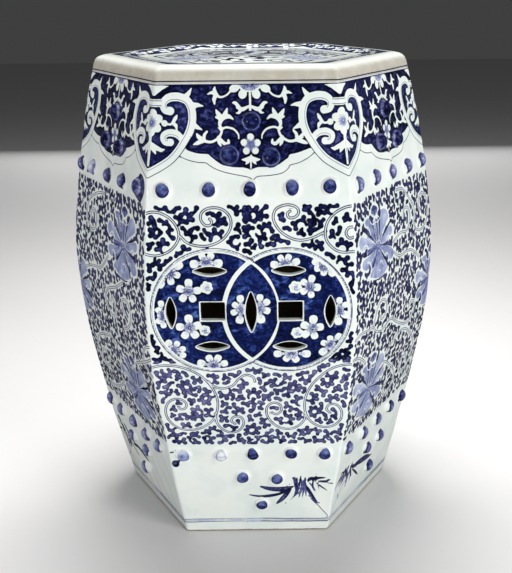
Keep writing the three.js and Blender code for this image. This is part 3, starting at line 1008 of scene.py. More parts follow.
def medallions(cv, rng):
    C = [(-32.0, 256.6), (32.2, 256.6)]
    R = 59.0
    for cx, cz in C:
        cv.cut(disc(cx, cz, R + 0.2))
        cv.block(disc(cx, cz, R + 0.8))
    union = lambda x, z: np.maximum(R - 3.7 - np.hypot(x - C[0][0], z - C[0][1]), R - 4.1 - np.hypot(x - C[1][0], z - C[1][1]))
    cv.add(((-92, 92, 196, 317), union), 0.9, 1.0)
    for x, z, r in BUDS:
        coin_bud(cv, x, z, r, rng)
    for c, petals in FLOWERS:
        blossom(cv, c, petals, rng, clip=union)
    # nothing spills over the bands
    outside = ((-97, 97, 190, 322), lambda x, z: -union(x, z))
    cv.cut(outside)
    t = np.linspace(0, TAU, 200)

    def ring(c, r, wob=0.0, ph=0.0):
        q = r + wob * np.sin(3 * t + ph) + 0.5 * wob * np.sin(7 * t + 2 * ph)
        return np.stack([c[0] + q * np.cos(t), c[1] + q * np.sin(t)], 1)

    # left coin: narrow arc where it runs over the right one
    arc = ring(C[0], R - 2.0, 0.25, 1.0)
    inside = np.hypot(arc[:, 0] - C[1][0], arc[:, 1] - C[1][1]) < R - 1.5
    idx = np.nonzero(inside)[0]
    idx = np.concatenate([idx[idx > 100], idx[idx <= 100]])
    rad = 1.15 + 0.3 * np.sin(np.linspace(0, 9, len(idx))) * np.linspace(1, 0.4, len(idx)) + 0.15 * np.cos(np.linspace(0, 23, len(idx)))
    cv.cut(stroke(arc[idx], rad))
    # right coin, whole, over the left one
    full = ring(C[1], R - 2.1, 0.12, 2.0)
    cv.cut(stroke(full, 2.0))
    # fine lines
    for c, rr, w, ink, part in ((C[0], R - 0.1, 0.34, 0.8, "out"), (C[0], R - 1.9, 0.16, 0.42, "out"), (C[1], R - 0.1, 0.34, 0.8, "out"), (C[1], R - 3.9, 0.3, 0.85, "low"), (C[1], R - 1.6, 0.16, 0.42, "right")):
        pts = ring(c, rr, 0.14, rr)
        oc = C[1] if c is C[0] else C[0]
        far = np.hypot(pts[:, 0] - oc[0], pts[:, 1] - oc[1]) > R - 1.2
        if part == "low":
            far = far & (pts[:, 1] < 250) & (pts[:, 0] > 40)
        if part == "right":
            far = far & (pts[:, 0] > -40)
        k = np.nonzero(far)[0]
        for q in np.split(k, np.nonzero(np.diff(k) > 1)[0] + 1):
            if len(q) > 2:
                cv.line(pts[q], w=w, ink=ink)
    # crossing marks
    for z, m in ((306.2, 1), (207.2, -1)):
        cv.line([(-2.2, z + m * 1.6), (1.0, z - m * 0.6), (3.4, z - m * 2.6)], w=0.5, ink=0.85)
    # bare edge round each opening
    for q in SQUARES:
        cv.cut(polygon(rect_pts(*q, grow=1.15)))
    for q in LENSES:
        cv.cut(polygon(lens_pts(*q, grow=1.15)))


# ---------------------------------------------------------------- bands and foot
def foot_lines(cv, seed=0):
    u = np.linspace(-110, 110, 45)
    w1 = 0.5 * np.cos((u + 28) * 0.032 + seed) + 0.16 * np.sin(u * 0.17 + 2 * seed)
    w2 = 0.42 * np.cos((u + 24) * 0.032 + seed) + 0.14 * np.sin(u * 0.21 + seed)
    hi, lo = np.stack([u, 16.7 + w1], 1), np.stack([u, 12.7 + w2], 1)
    cv.pale(stroke(np.stack([u, 14.7 + 0.5 * (w1 + w2)], 1), 1.5 + 0.3 * np.sin(u * 0.09 + seed)), 0.17)
    # the brush was lifted and set down again in the middle
    a, c = -7.0 + 9 * seed % 13, 3.0 + 9 * seed % 13
    for line, w, ink in ((hi, 0.5, 0.84), (lo, 0.62, 0.95)):
        cv.line(line[u < a], w=w, ink=ink - 0.1 * (w < 0.6), w_end=0.2)
        cv.line(line[u > c], w=w, ink=ink)
        cv.line(np.stack([[a - 3, c + 3], np.interp([a - 3, c + 3], u, line[:, 1])], 1), w=0.5, ink=0.42)
    cv.pale(ellipse(0.5 * (a + c), 14.8, 7.0, 3.0, 0.0), 0.16)


def blades(cv, leaves, rng, tone=(0.72, 0.92), hue=0.25, m=1, dx=0.0, blunt=0.0):
    """Bamboo leaves, each a loaded brush stroke."""
    for pts, w in leaves:
        p = spline([(m * x + dx, z) for x, z in pts], 4)
        n = len(p)
        t = np.linspace(0, 1, n)
        r = w * np.sin(np.pi * np.clip(t * (0.93 - 0.16 * blunt) + 0.07, 0, 1)) ** 0.75 * (1 - 0.25 * t)
        r[0], r[-1] = max(0.3, w * 0.3), max(0.2, r[-1])
        tn = rng.uniform(*tone)
        sh = stroke(p, np.maximum(r, 0.2))
        cv.add(sh, tn, hue, occ=False)
        a0, d = p[0], p[-1] - p[0]
        L2 = float(d @ d) + 1e-6
        cv.tint(sh, lambda x, z: 0.06 - 0.16 * np.clip(((x - a0[0]) * d[0] + (z - a0[1]) * d[1]) / L2, 0, 1), dark=True)


def bamboo_front(cv, rng):
    blades(cv, [
        ([(37.4, 59.6), (30, 57.4), (22, 56.7), (13, 57.9), (5.0, 60.5)], 3.5),
        ([(35, 56.4), (24, 50.8), (14, 48.3), (4, 47.4), (-6.8, 49.5)], 2.2),
        ([(35.4, 56.4), (30.2, 48.8), (25.6, 42.8), (21.0, 37.8)], 2.9),
    ], rng, (0.8, 0.88), 0.08, blunt=0.7)
    blades(cv, [([(31.0, 60.8), (34.4, 63.0), (37.6, 67.4)], 0.55)], rng, (0.5, 0.55), 0.1)
    # the crowded middle, small blades laid across each other
    blades(cv, [
        ([(46, 70), (47.0, 60), (44.6, 50), (43.6, 44.4)], 1.3),
        ([(49, 62), (50.6, 53), (51.0, 45.6)], 1.1),
        ([(39.0, 69.0), (43.0, 61), (46.4, 52)], 1.3),
        ([(52, 67), (57, 60), (61.2, 53.6)], 1.0),
        ([(43, 68), (49, 61), (54, 55)], 1.2),
        ([(60, 66.6), (63.2, 60), (64.4, 52)], 0.6),
        ([(47, 58), (44, 52), (38.4, 46.6)], 0.9),
    ], rng, (0.56, 0.68), 0.35)
    blades(cv, [
        ([(36.4, 69.2), (38.6, 71.0), (41.8, 71.8)], 1.4),
        ([(37.8, 70.4), (39.6, 62), (40.4, 55), (38.0, 46.6)], 1.1),
        ([(41.8, 71.8), (41.2, 63), (41.4, 52), (34.8, 41.6)], 1.5),
        ([(45.8, 74.4), (44.6, 66), (43.0, 56), (40.4, 47.6)], 1.2),
        ([(50.0, 72.0), (49.2, 63), (48.4, 54), (46.6, 43.2)], 1.5),
        ([(50.6, 69.0), (48.0, 64.5), (45.6, 60)], 1.9),
        ([(48.6, 66.0), (50.0, 61.0), (51.6, 55.6)], 1.8),
        ([(54, 57), (57, 49), (60.6, 41.4)], 0.8),
        ([(57.6, 66), (57.8, 58.4), (60.8, 50.4)], 1.2),
    ], rng, (0.7, 0.84), 0.25)
    blades(cv, [
        ([(50.0, 62), (54.0, 53.4), (57.6, 46), (62.6, 37.4)], 2.1),
        ([(52.4, 66.4), (55.6, 69.6), (60.4, 69.8)], 2.5),
        ([(55.4, 71.2), (64, 71.0), (70, 70.0), (75.4, 67.6)], 1.35),
        ([(57.4, 68.2), (66, 66.2), (72, 64.6), (78.2, 62.8)], 1.7),
        ([(60.6, 64.4), (66, 59.2), (72.6, 53.4)], 1.1),
    ], rng, (0.8, 0.92), 0.1, blunt=0.8)
    blades(cv, [([(58, 65.6), (64, 66.8), (70, 66.4)], 0.6), ([(60.8, 73.6), (61.6, 75), (62.2, 76.8)], 0.7)], rng, (0.45, 0.5), 0.2)
    st = spline([(54.4, 49.4), (58.2, 43), (62.6, 35.6), (67.6, 28.2), (73, 20.6), (73.6, 18.4)], 5)
    cv.line(st, w=0.55, ink=0.76, w_end=0.34)
    cv.line(spline([(53.8, 47.4), (57.0, 41.8), (61.2, 36.6)], 5), w=0.4, ink=0.7)
    cv.add(disc(64.3, 37.2, 0.9), 0.75, 0.2, occ=False)
    cv.add(disc(30.2, 38.2, 0.9), 0.55, 0.2, occ=False)


def bamboo_side(cv, rng, m=1, dx=0.0, dz=0.0):
    """Long spray that runs from a crowded knot out across the wall."""
    S = lambda pts: [(x, z + dz) for x, z in pts]
    for i in range(22):
        x0, z0 = rng.uniform(-68, -40), rng.uniform(60, 72)
        a = math.radians(rng.choice([-128, -112, -62, -48]) + rng.uniform(-12, 12))
        L = rng.uniform(11, 22)
        b = rng.uniform(-0.2, 0.2)
        blades(cv, [(S([(x0, z0), (x0 + 0.5 * L * math.cos(a), z0 + 0.5 * L * math.sin(a)), (x0 + L * math.cos(a + b), z0 + L * math.sin(a + b))]), rng.uniform(0.9, 1.6))], rng, (0.62, 0.84), 0.15, m, dx, blunt=0.5)
    blades(cv, [
        (S([(-42, 62.4), (-28, 59.4), (-12, 55.6), (4, 52.4), (13, 51.6)]), 2.8),
        (S([(-40, 62.0), (-25, 61.4), (-9, 59.2), (6, 54.8)]), 2.2),
        (S([(-38, 58), (-30, 51.6), (-22, 44.6), (-17, 40)]), 1.6),
        (S([(-46, 66), (-42, 58), (-36, 47)]), 1.8),
        (S([(-60, 70), (-52, 61), (-46, 50)]), 1.7),
        (S([(-72, 71), (-62, 67), (-54, 66)]), 1.4),
    ], rng, (0.8, 0.94), 0.08, m, dx, blunt=0.4)
    blades(cv, [(S([(-65, 41), (-62.6, 36.6), (-61, 32)]), 1.5)], rng, (0.36, 0.4), 0.1, m, dx)
    st = spline([(m * x + dx, z + dz) for x, z in [(-52, 52), (-58, 44), (-65, 33), (-71, 20)]], 5)
    cv.line(st, w=0.45, ink=0.6, w_end=0.3)


def bamboo_left(cv, rng):
    """Dark spray from the far arris down across the wall."""
    for i in range(14):
        x0, z0 = rng.uniform(-66, -36), rng.uniform(58, 74)
        a = math.radians(rng.choice([-125, -100, -55, -40]) + rng.uniform(-12, 12))
        L = rng.uniform(9, 19)
        blades(cv, [([(x0, z0), (x0 + 0.5 * L * math.cos(a), z0 + 0.5 * L * math.sin(a)), (x0 + L * math.cos(a + 0.1), z0 + L * math.sin(a + 0.1))], rng.uniform(0.9, 1.5))], rng, (0.68, 0.86), 0.08, blunt=0.5)
    blades(cv, [
        ([(-70, 79.6), (-67, 78.6), (-63, 76)], 2.8),
        ([(-66, 73), (-60, 69), (-54, 62)], 2.9),
        ([(-54, 76), (-49, 71), (-42, 61)], 2.6),
        ([(-60, 64), (-56, 54), (-56.6, 45)], 1.8),
        ([(-46, 60), (-47.6, 52), (-50.6, 45)], 1.9),
        ([(-64, 66), (-74, 61), (-84, 60)], 1.6),
        ([(-36, 56.6), (-25, 59.6), (-14, 58.8), (-4, 55.4), (6, 54)], 2.7),
        ([(-42, 57), (-34, 49), (-26, 43)], 1.4),
    ], rng, (0.84, 0.97), 0.05, blunt=0.4)
    cv.line(spline([(-56, 46), (-60, 37), (-68, 29), (-79, 21)], 5), w=0.5, ink=0.72, w_end=0.3)


# ---------------------------------------------------------------- scroll field
def field_ok(circles, lo=114.6, hi=352.6, edge=0.7):
    def ok(x, z, r):
        if z + 0.6 * r > hi or z - 0.6 * r < lo:
            return False
        if abs(x) + r > hw(z) - edge:
            return False
        for cx, cz, cr in circles:
            if math.hypot(x - cx, z - cz) < cr + r + 0.4:
                return False
        return True

    return ok


V_UP = [
    [(-93.0, 344.6), (-86.3, 347.4), (-77.9, 346.8), (-69.6, 342.4), (-63.8, 335.5), (-61.7, 328.0), (-63.8, 320.9), (-69.4, 314.6), (-76.5, 311.0), (-84.0, 309.6), (-92.5, 311.2)],
    [(-61.0, 327.0), (-54.7, 321.0), (-46.3, 318.2), (-36.6, 318.0), (-26.8, 321.4), (-20.0, 327.2), (-16.2, 334.4), (-16.6, 342.0), (-21.3, 348.0), (-28.4, 350.6), (-36.8, 349.8), (-41.8, 345.6), (-41.9, 340.0), (-38.5, 335.9), (-34.4, 335.6), (-32.6, 338.6), (-34.6, 341.2)],
    [(67.0, 329.5), (55.5, 324.0), (45.8, 321.9), (37.4, 323.4), (29.0, 328.2), (23.6, 334.4), (20.9, 341.4), (22.8, 348.2), (28.4, 351.6), (35.2, 352.4), (41.2, 350.2), (43.2, 345.9), (39.9, 341.9), (35.1, 341.4), (33.1, 344.6), (35.6, 347.2)],
    [(94.0, 350.6), (88.0, 350.8), (81.9, 349.2), (74.7, 345.2), (68.7, 338.3), (66.4, 329.9), (67.6, 321.4), (73.7, 314.4), (81.0, 311.2), (92.0, 311.6)],
    [(93.0, 333.0), (87.0, 332.4), (84.4, 327.8), (87.4, 323.4), (92.4, 324.4)],
]
V_LO = [
    [(-95.0, 202.6), (-88.0, 204.4), (-80.3, 205.0), (-69.6, 203.9), (-59.3, 200.4), (-50.4, 194.9), (-42.9, 187.4), (-36.7, 176.7), (-33.9, 165.3), (-35.1, 153.8), (-39.6, 143.8), (-48.1, 136.6), (-57.8, 132.7), (-68.8, 132.9), (-77.6, 138.2), (-83.0, 146.8), (-84.0, 156.2), (-81.0, 164.4), (-75.0, 168.6), (-68.5, 168.2), (-64.0, 164.0), (-64.6, 158.8), (-69.0, 157.0), (-71.6, 160.2)],
    [(-42.2, 188.0), (-36.4, 182.0), (-28.6, 179.5), (-19.2, 182.5), (-13.7, 189.0), (-6.8, 193.6), (0.0, 191.4), (2.0, 186.4)],
    [(-36.6, 150.8), (-35.4, 140.0), (-29.2, 132.0), (-21.1, 129.0), (-13.4, 132.6), (-9.9, 140.5), (-12.8, 147.1), (-19.2, 147.5), (-21.7, 142.6), (-18.0, 139.2)],
    [(49.0, 150.0), (48.3, 142.8), (43.1, 136.0), (35.0, 132.3), (25.4, 134.0), (17.3, 140.3), (12.5, 149.4), (12.9, 158.1), (18.3, 162.6), (25.0, 160.6), (26.4, 154.0), (22.0, 149.6), (17.0, 151.6)],
    [(95.0, 203.6), (83.2, 202.9), (72.8, 199.3), (62.5, 191.0), (54.7, 181.7), (49.6, 169.0), (48.9, 154.3), (53.5, 142.5), (61.5, 135.8), (70.7, 134.0), (78.5, 137.1), (83.6, 144.0), (84.0, 152.6), (79.6, 159.6), (72.4, 160.6), (69.6, 155.0), (73.2, 151.0)],
]


def hang(co, vines, rng, spacing=(5.0, 8.0), s=1.0):
    """Leaves that start from the vines, on alternate sides."""
    for v in vines:
        q = spline(v, 6)
        d = np.gradient(q, axis=0)
        cum = np.concatenate([[0], np.cumsum(np.hypot(*(q[1:] - q[:-1]).T))])
        at, side = rng.uniform(2, 6), rng.choice([-1, 1])
        while at < cum[-1] - 3:
            i = int(np.searchsorted(cum, at))
            a = math.atan2(d[i][1], d[i][0]) + side * rng.uniform(0.7, 1.2)
            co.grow(q[i][0] + 1.2 * math.cos(a), q[i][1] + 1.2 * math.sin(a), a, s, 2, p=0.7)
            side = -side
            at += rng.uniform(*spacing)


def scroll(cv, rng, box, ok, vines, tone, hue, s=1.0, tries=2500, gap=1.25, vary=0.07):
    co = Coral(cv, rng, ok, gap=gap)
    hang(co, vines, rng, s=s)
    for _ in range(tries):
        x, z = rng.uniform(box[0], box[1]), rng.uniform(box[2], box[3])
        if co.room(x, z, 2.0) >= 0:
            co.grow(x, z, rng.uniform(0, TAU), s, 3, p=0.9)
    co.fill(box, sizes=(1.0 * s, 0.86 * s, 0.7 * s))
    co.paint(tone, hue, vary)
    return co


def two_coin_wall(cv, rng, mirror=1):
    medallions(cv, rng)
    M = lambda v: [(mirror * x, z) for x, z in v]
    up, lo = [M(v) for v in V_UP], [M(v) for v in V_LO]
    for v in up:
        vine(cv, v, 0.86, 0.86, w=0.42)
    for v in lo:
        vine(cv, v, 0.82, 0.72, w=0.4)
    ok = field_ok([(-32.0, 256.6, 59.0), (32.2, 256.6, 59.0)])
    scroll(cv, rng, (-94, 94, 208, 353), lambda x, z, r: z > 209 and ok(x, z, r), up, 0.95, 0.45, s=1.12, gap=0.85)
    scroll(cv, rng, (-94, 94, 114, 216), lambda x, z, r: z <= 209 and ok(x, z, r), lo, 0.72, 0.0, s=1.05, gap=0.9)


# ---------------------------------------------------------------- lotus wall
PETALS = [  # outline, depth of the wash
    ([(-2, 3), (-4.5, 9), (-8.5, 20), (-12.5, 29), (-18, 30.5), (-24, 28.5), (-20, 21.5), (-12.5, 12), (-5, 4.5)], 0.30),
    ([(2.5, 3), (6.5, 12), (11.5, 23), (14, 29.5), (20, 31), (27, 27.5), (30, 19.5), (22, 13), (12, 7), (4.5, 3)], 0.27),
    ([(4.5, 1.2), (12, 4.6), (22, 8.6), (31, 11), (36, 8), (35, 3), (28, -0.4), (18, -1.6), (8, -0.8)], 0.26),
    ([(5, -3), (12, -4.4), (22, -6.6), (30, -10), (36, -15.5), (34, -21), (26, -22.8), (19.5, -18), (12, -12), (6, -6)], 0.32),
    ([(-5, -2.6), (-14, -4.2), (-26, -4.6), (-35, -5.8), (-38, -10.5), (-34, -15.4), (-26, -16.8), (-21, -13), (-14, -9.6), (-8, -6)], 0.28),
    ([(-5, 1.6), (-12, 2.8), (-20, 2.8), (-28, 4.6), (-34, 3.6), (-40, 7), (-40.5, 13.5), (-35.5, 17.6), (-28, 15), (-18, 9.6), (-8, 4)], 0.25),
    ([(-1.6, 4), (-4, 13), (-5, 23), (0, 26.5), (5.4, 23.5), (4.6, 13), (2, 4)], 0.36),
    ([(-8, 33), (-5.5, 37), (0, 39.2), (6, 37), (9, 33), (5, 29.8), (0, 28), (-5, 29.8)], 0.45),
    ([(0, -5), (5, -9), (10, -14.6), (17, -21.6), (19.5, -27.5), (14, -31), (4, -32.8), (-6, -31.4), (-16, -28.6), (-22, -25.4), (-19, -20.6), (-11, -13.6), (-5, -8)], 0.28),
]
WEDGES = [  # dark between the petals: points, half widths, depth
    ([(5, 2.4), (14, 6.4), (24, 10.6), (31.5, 13.8)], [0.25, 0.8, 1.6, 1.1], 0.9),
    ([(4, -1.5), (13, -3.4), (20, -4.4), (27, -5.8), (32.5, -9.6)], [0.3, 0.8, 1.5, 2.2, 1.2], 0.82),
    ([(4, -5), (8, -11), (12, -15.4), (17, -19.4), (20.4, -26.5)], [0.4, 1.0, 1.5, 1.7, 1.2], 0.8),
    ([(-2.5, -5), (-8, -10.6), (-14.8, -16.4)], [0.4, 0.9, 1.7], 0.84),
    ([(-5, -0.8), (-16, -2.2), (-31, -3.2)], [0.3, 0.7, 0.5], 0.78),
    ([(-6, 0.4), (-16, 0.2), (-23, 0.6)], [0.25, 0.45, 0.8], 0.66),
    ([(-4, 2.6), (-11, 9), (-18, 16), (-22.6, 19.6)], [0.3, 1.0, 2.3, 2.7], 0.76),
    ([(-3.4, 5), (-6.4, 14), (-8.6, 23), (-10.6, 29.4)], [0.4, 1.3, 2.3, 2.7], 0.78),
    ([(4.2, 4), (6.6, 13), (8.8, 22), (13.4, 30.6)], [0.4, 1.1, 1.8, 1.2], 0.82),
    ([(1.2, 8), (1.2, 17), (1.5, 23.6)], [0.3, 0.8, 1.4], 0.64),
    ([(-1.6, 6), (-2.2, 14), (-2.4, 19)], [0.25, 0.5, 0.3], 0.6),
    ([(-3.6, 34.6), (0.4, 36.6), (4.6, 34.8)], [1.2, 1.9, 1.2], 0.76),
    ([(0.2, 30.0), (0.4, 34.0)], [0.7, 1.2], 0.7),
    ([(-28.5, 1.2), (-27, 2.2)], [2.2, 1.8], 0.72),
    ([(-23, -15.0), (-22, -17.4)], [2.2, 2.3], 0.66),
    ([(19.6, -16.6), (20.2, -19.4)], [1.5, 1.6], 0.7),
    ([(5.6, -21.4), (6.6, -22.6)], [1.3, 1.4], 0.52),
    ([(-12, -31.6), (-3, -33.6), (7, -33.8), (13, -32.4)], [0.5, 0.9, 0.9, 0.5], 0.74),
]
CURLS = [  # white turned edges: points, half width
    ([(-12, 25), (-8, 22.6), (-3.4, 22), (-1.2, 24.6), (-1.8, 28), (-4.6, 30.4), (-7.6, 29)], 0.55),
    ([(-1, 23), (3.6, 21.6), (8.4, 22.4), (11, 24.4)], 0.5),
    ([(2.4, 25.8), (5.8, 29.8), (9, 33)], 0.8),
    ([(-23, 22.6), (-18.6, 22.8), (-15.6, 19.4), (-14.6, 14)], 0.6),
    ([(-34.5, 2.6), (-31.8, 6.6), (-27, 7.4), (-23.4, 5), (-21.8, 2)], 0.65),
    ([(-26.5, -10), (-22.4, -10.4), (-19.4, -13.4), (-18.8, -18)], 0.6),
    ([(1, -18.2), (4, -17), (7.6, -18.4), (8.8, -22)], 0.55),
    ([(-2.4, -24.4), (2.4, -26.2)], 0.5),
    ([(13.6, -15), (17.2, -13), (20.6, -14.6), (22, -19)], 0.55),
    ([(19.4, -1.4), (24.6, 1.8), (29, 0.8), (31.6, -3), (33.6, -8.6)], 0.6),
    ([(8, -7.6), (13, -13), (15.4, -15.2)], 0.45),
    ([(-6, 13), (-9, 21), (-12.4, 28)], 0.4),
    ([(12, 8.2), (20, 13.4), (28.4, 18.6)], 0.4),
    ([(-9, 5.6), (-19, 12), (-27, 17)], 0.4),
]


def petal_poly(cx, cz, a, L, w, sway=0.0, grow=0.0, sharp=0.0):
    t = np.array([0, 0.08, 0.18, 0.3, 0.42, 0.54, 0.65, 0.75, 0.84, 0.91, 0.965, 1.0])
    g = np.array([0.05, 0.13, 0.27, 0.45, 0.64, 0.83, 0.96, 1.0, 0.9, 0.68, 0.36, 0.0])
    h = np.array([0.05, 0.14, 0.3, 0.5, 0.71, 0.9, 1.0, 0.93, 0.7, 0.43, 0.18, 0.0])
    g = g + (h - g) * sharp
    up, dn = [], []
    for ti, gi in zip(t, g):
        b = a + sway * ti * ti
        r = (L + grow) * ti
        q = w * gi + grow
        px, pz = cx + r * math.cos(b), cz + r * math.sin(b)
        up.append((px - q * math.sin(b), pz + q * math.cos(b)))
        dn.append((px + q * math.sin(b), pz - q * math.cos(b)))
    return up, dn[::-1]


def lotus(cv, cx, cz, s, rng, tone=0.0, ink=0.6, mirror=1, bold=1.0):
    """Scrolling lotus: turned petals parted by dark wedges that widen outward."""
    rot = rng.uniform(-0.05, 0.05)
    cr, sr = math.cos(rot), math.sin(rot)

    def put(pts, wob=0.35):
        out = []
        for x, z in pts:
            x, z = x + rng.uniform(-wob, wob), z + rng.uniform(-wob, wob)
            out.append((cx + s * mirror * (x * cr - z * sr), cz + s * (x * sr + z * cr)))
        return out

    shapes = []
    for pts, tn in PETALS:
        p = put(pts)
        loop = spline(p + [p[0]], 3)[:-1]
        shapes.append((loop, tn))
    for loop, tn in shapes:
        mx, mz = sum(q[0] for q in loop) / len(loop), sum(q[1] for q in loop) / len(loop)
        wide = [(mx + (q[0] - mx) * 1.07, mz + (q[1] - mz) * 1.07) for q in loop]
        cv.cut(polygon(wide))
        cv.block(polygon(wide))
    rim = [(cx + s * r * math.cos(a), cz + s * r * math.sin(a))
           for a, r in ((TAU * i / 40, 25.5 + 1.6 * math.sin(5 * TAU * i / 40) + rng.uniform(-1, 1)) for i in range(40))]
    cv.cut(polygon(rim))
    cv.block(polygon(rim))
    cv.pale(polygon(rim), 0.5 + tone)
    for loop, tn in shapes:
        cv.pale(polygon(loop), 0.5 + tone)
    for loop, tn in shapes:
        body = polygon(loop)
        tn = tn - 0.42 + rng.uniform(-0.02, 0.02)

        def shade(x, z):
            u = np.hypot(x - cx, z - cz) / (34 * s)
            n = np.sin(17 * np.arctan2(z - cz, x - cx) + 3 * u)
            return tn + 0.14 * np.clip(1 - u / 0.6, 0, 1) + 0.035 * n * np.clip(u * 2, 0, 1)

        cv.tint(body, shade)
        q = np.vstack([loop, loop[:1]])
        cv.cut(stroke(q, np.full(len(q), 0.34)))
    for pts, w, t in WEDGES:
        k = (0.75 + 0.25 * bold) * s
        cv.add(stroke(put(pts, 0.2), [q * k for q in w]), min(0.97, t + 0.5 * tone + rng.uniform(-0.03, 0.04)), 0.15, occ=False)
    # fine veins run out from the heart
    for a in (8, 16, 38, 50, -20, -32, -64, -76, -90, -104, -118, 160, 168, 196, 204, 124, 132):
        a = math.radians(a + rng.uniform(-2, 2))
        r0, r1 = rng.uniform(5, 8), rng.uniform(19, 27)
        v = put([(r0 * math.cos(a), r0 * math.sin(a)), (r1 * math.cos(a + 0.03), r1 * math.sin(a + 0.03))], 0.2)
        cv.line(v, w=0.26, ink=ink - 0.1, w_end=0.12)
    for pts, w in CURLS:
        p = spline(put(pts, 0.2), 4)
        cv.cut(stroke(p, np.full(len(p), w * s ** 0.5)))
    cv.cut(disc(cx, cz, 2.0 * s))
    cv.pale(disc(cx, cz, 1.5 * s), 0.5)
    cv.add(disc(cx, cz, 0.9 * s), 0.8, 0.1, occ=False)


L_VINES = {
    1: [
        [(8.0, 346.0), (20.0, 345.5), (29.0, 340.0), (37.0, 333.0), (44.0, 326.0), (48.0, 317.0), (46.0, 308.0), (50.0, 300.0), (59.0, 296.0), (69.0, 296.5), (78.0, 301.0), (84.0, 309.0), (84.0, 319.0), (79.0, 328.0), (70.0, 332.0), (62.0, 328.5), (59.0, 321.0), (64.0, 316.0)],
        [(-8.0, 290.0), (0.0, 285.0), (10.0, 282.0), (24.0, 282.5), (38.0, 280.5), (49.0, 275.0), (60.0, 268.0)],
        [(-8.0, 300.0), (2.0, 303.0), (12.0, 304.5), (24.0, 303.0), (33.0, 308.0), (36.0, 317.0), (31.0, 325.0), (22.0, 325.0), (19.0, 318.0)],
        [(-92.0, 227.0), (-80.0, 229.5), (-66.0, 228.0), (-53.0, 227.0), (-45.0, 220.5), (-35.0, 217.0), (-24.0, 218.0), (-13.0, 222.0), (-4.0, 220.0), (5.0, 214.5), (15.0, 209.5), (26.0, 205.0), (37.0, 202.5), (48.0, 205.0), (55.0, 212.0), (53.0, 221.0), (44.0, 224.0), (38.0, 219.0)],
        [(-52.0, 228.5), (-49.0, 237.0), (-45.0, 245.0), (-37.0, 249.5), (-28.0, 247.5), (-22.5, 240.0), (-25.0, 232.0), (-33.0, 229.5), (-38.0, 234.0)],
        [(-96.0, 207.0), (-85.0, 206.0), (-74.0, 202.0), (-65.0, 196.0), (-57.0, 188.0)],
        [(-10.0, 184.0), (2.0, 190.0), (14.0, 197.0), (26.0, 198.0), (38.0, 195.0), (48.0, 189.0), (58.0, 182.0), (67.0, 173.0), (72.0, 161.0), (69.0, 148.0), (59.0, 140.0), (47.0, 141.0), (41.0, 150.0), (45.0, 159.0), (54.0, 159.0), (57.0, 152.0)],
        [(-12.0, 176.0), (0.0, 170.0), (10.0, 163.0), (20.0, 156.0), (28.0, 146.0), (28.0, 134.0), (19.0, 127.0), (8.0, 129.0), (4.0, 138.0), (10.0, 144.0)],
        [(64.0, 128.0), (74.0, 134.0), (82.0, 142.0), (90.0, 152.0)],
    ],
    -1: [
        [(-14.0, 345.0), (-24.0, 344.0), (-35.0, 341.0), (-46.0, 336.0), (-55.0, 328.0), (-58.0, 318.0), (-53.0, 309.0), (-43.0, 305.0), (-33.0, 308.0), (-28.0, 316.0), (-32.0, 324.0), (-41.0, 325.0), (-45.0, 319.0)],
        [(46.0, 274.0), (34.0, 268.0), (22.0, 262.0), (10.0, 258.0), (-2.0, 254.0), (-11.0, 247.0), (-14.0, 237.0), (-8.0, 229.0), (2.0, 226.5), (11.0, 231.0), (13.0, 240.0), (6.0, 246.0), (0.0, 241.0)],
        [(4.0, 288.0), (-8.0, 278.0), (-22.0, 270.0), (-39.0, 267.5), (-54.0, 264.5), (-66.0, 260.0)],
        [(95.0, 224.0), (84.0, 220.0), (77.0, 212.0), (76.0, 203.0), (82.0, 196.0), (94.0, 192.0)],
        [(-2.0, 191.0), (-16.0, 196.5), (-30.0, 195.0), (-44.0, 191.0), (-57.0, 186.0), (-68.0, 177.0), (-72.0, 165.0), (-66.0, 154.0), (-55.0, 150.0), (-45.0, 156.0), (-45.0, 167.0), (-55.0, 170.0), (-60.0, 164.0)],
        [(50.0, 192.0), (62.0, 197.0), (72.0, 201.0), (84.0, 206.0), (95.0, 212.0)],
        [(-6.0, 150.0), (-17.0, 141.0), (-30.0, 134.0), (-46.0, 129.0), (-62.0, 127.0)],
        [(30.0, 222.0), (42.0, 226.0), (52.0, 234.0), (55.0, 245.0), (49.0, 254.0), (38.0, 254.0), (34.0, 246.0), (40.0, 241.0)],
        [(74.0, 150.0), (84.0, 143.0), (93.0, 134.0)],
    ],
}


def lotus_wall(cv, rng, flowers, mirror=1, tone=0.86):
    for x, z, s in flowers:
        lotus(cv, x, z, s, rng, tone=rng.uniform(-0.02, 0.03), ink=0.62)
    vs = []
    for v in L_VINES[mirror]:
        v = [p for p in spline(v, 3) if all(math.hypot((p[0] - x) / 34, (p[1] - z + 1.0) / 37) > s for x, z, s in flowers)]
        runs = []
        for p in v:
            if runs and math.hypot(p[0] - runs[-1][-1][0], p[1] - runs[-1][-1][1]) < 12:
                runs[-1].append(p)
            else:
                runs.append([p])
        for r in runs:
            if len(r) > 3:
                vine(cv, r, 0.95, 0.78, w=0.34)
                vs.append(r)
    scroll(cv, rng, (-94, 94, 114, 353), field_ok([]), vs, tone, 0.0, s=0.98, tries=4000, gap=1.0)


# ================================================================ meshes
TAN30 = math.tan(math.pi / 6)
COS30 = math.cos(math.pi / 6)
WALL = 11.0
TOP_Z = 452.5
ARRIS = 4.2  # rounding of the corners
LIP = 0.95  # rounding of the pierced edges
FOOT = 1.2  # rounding of the foot


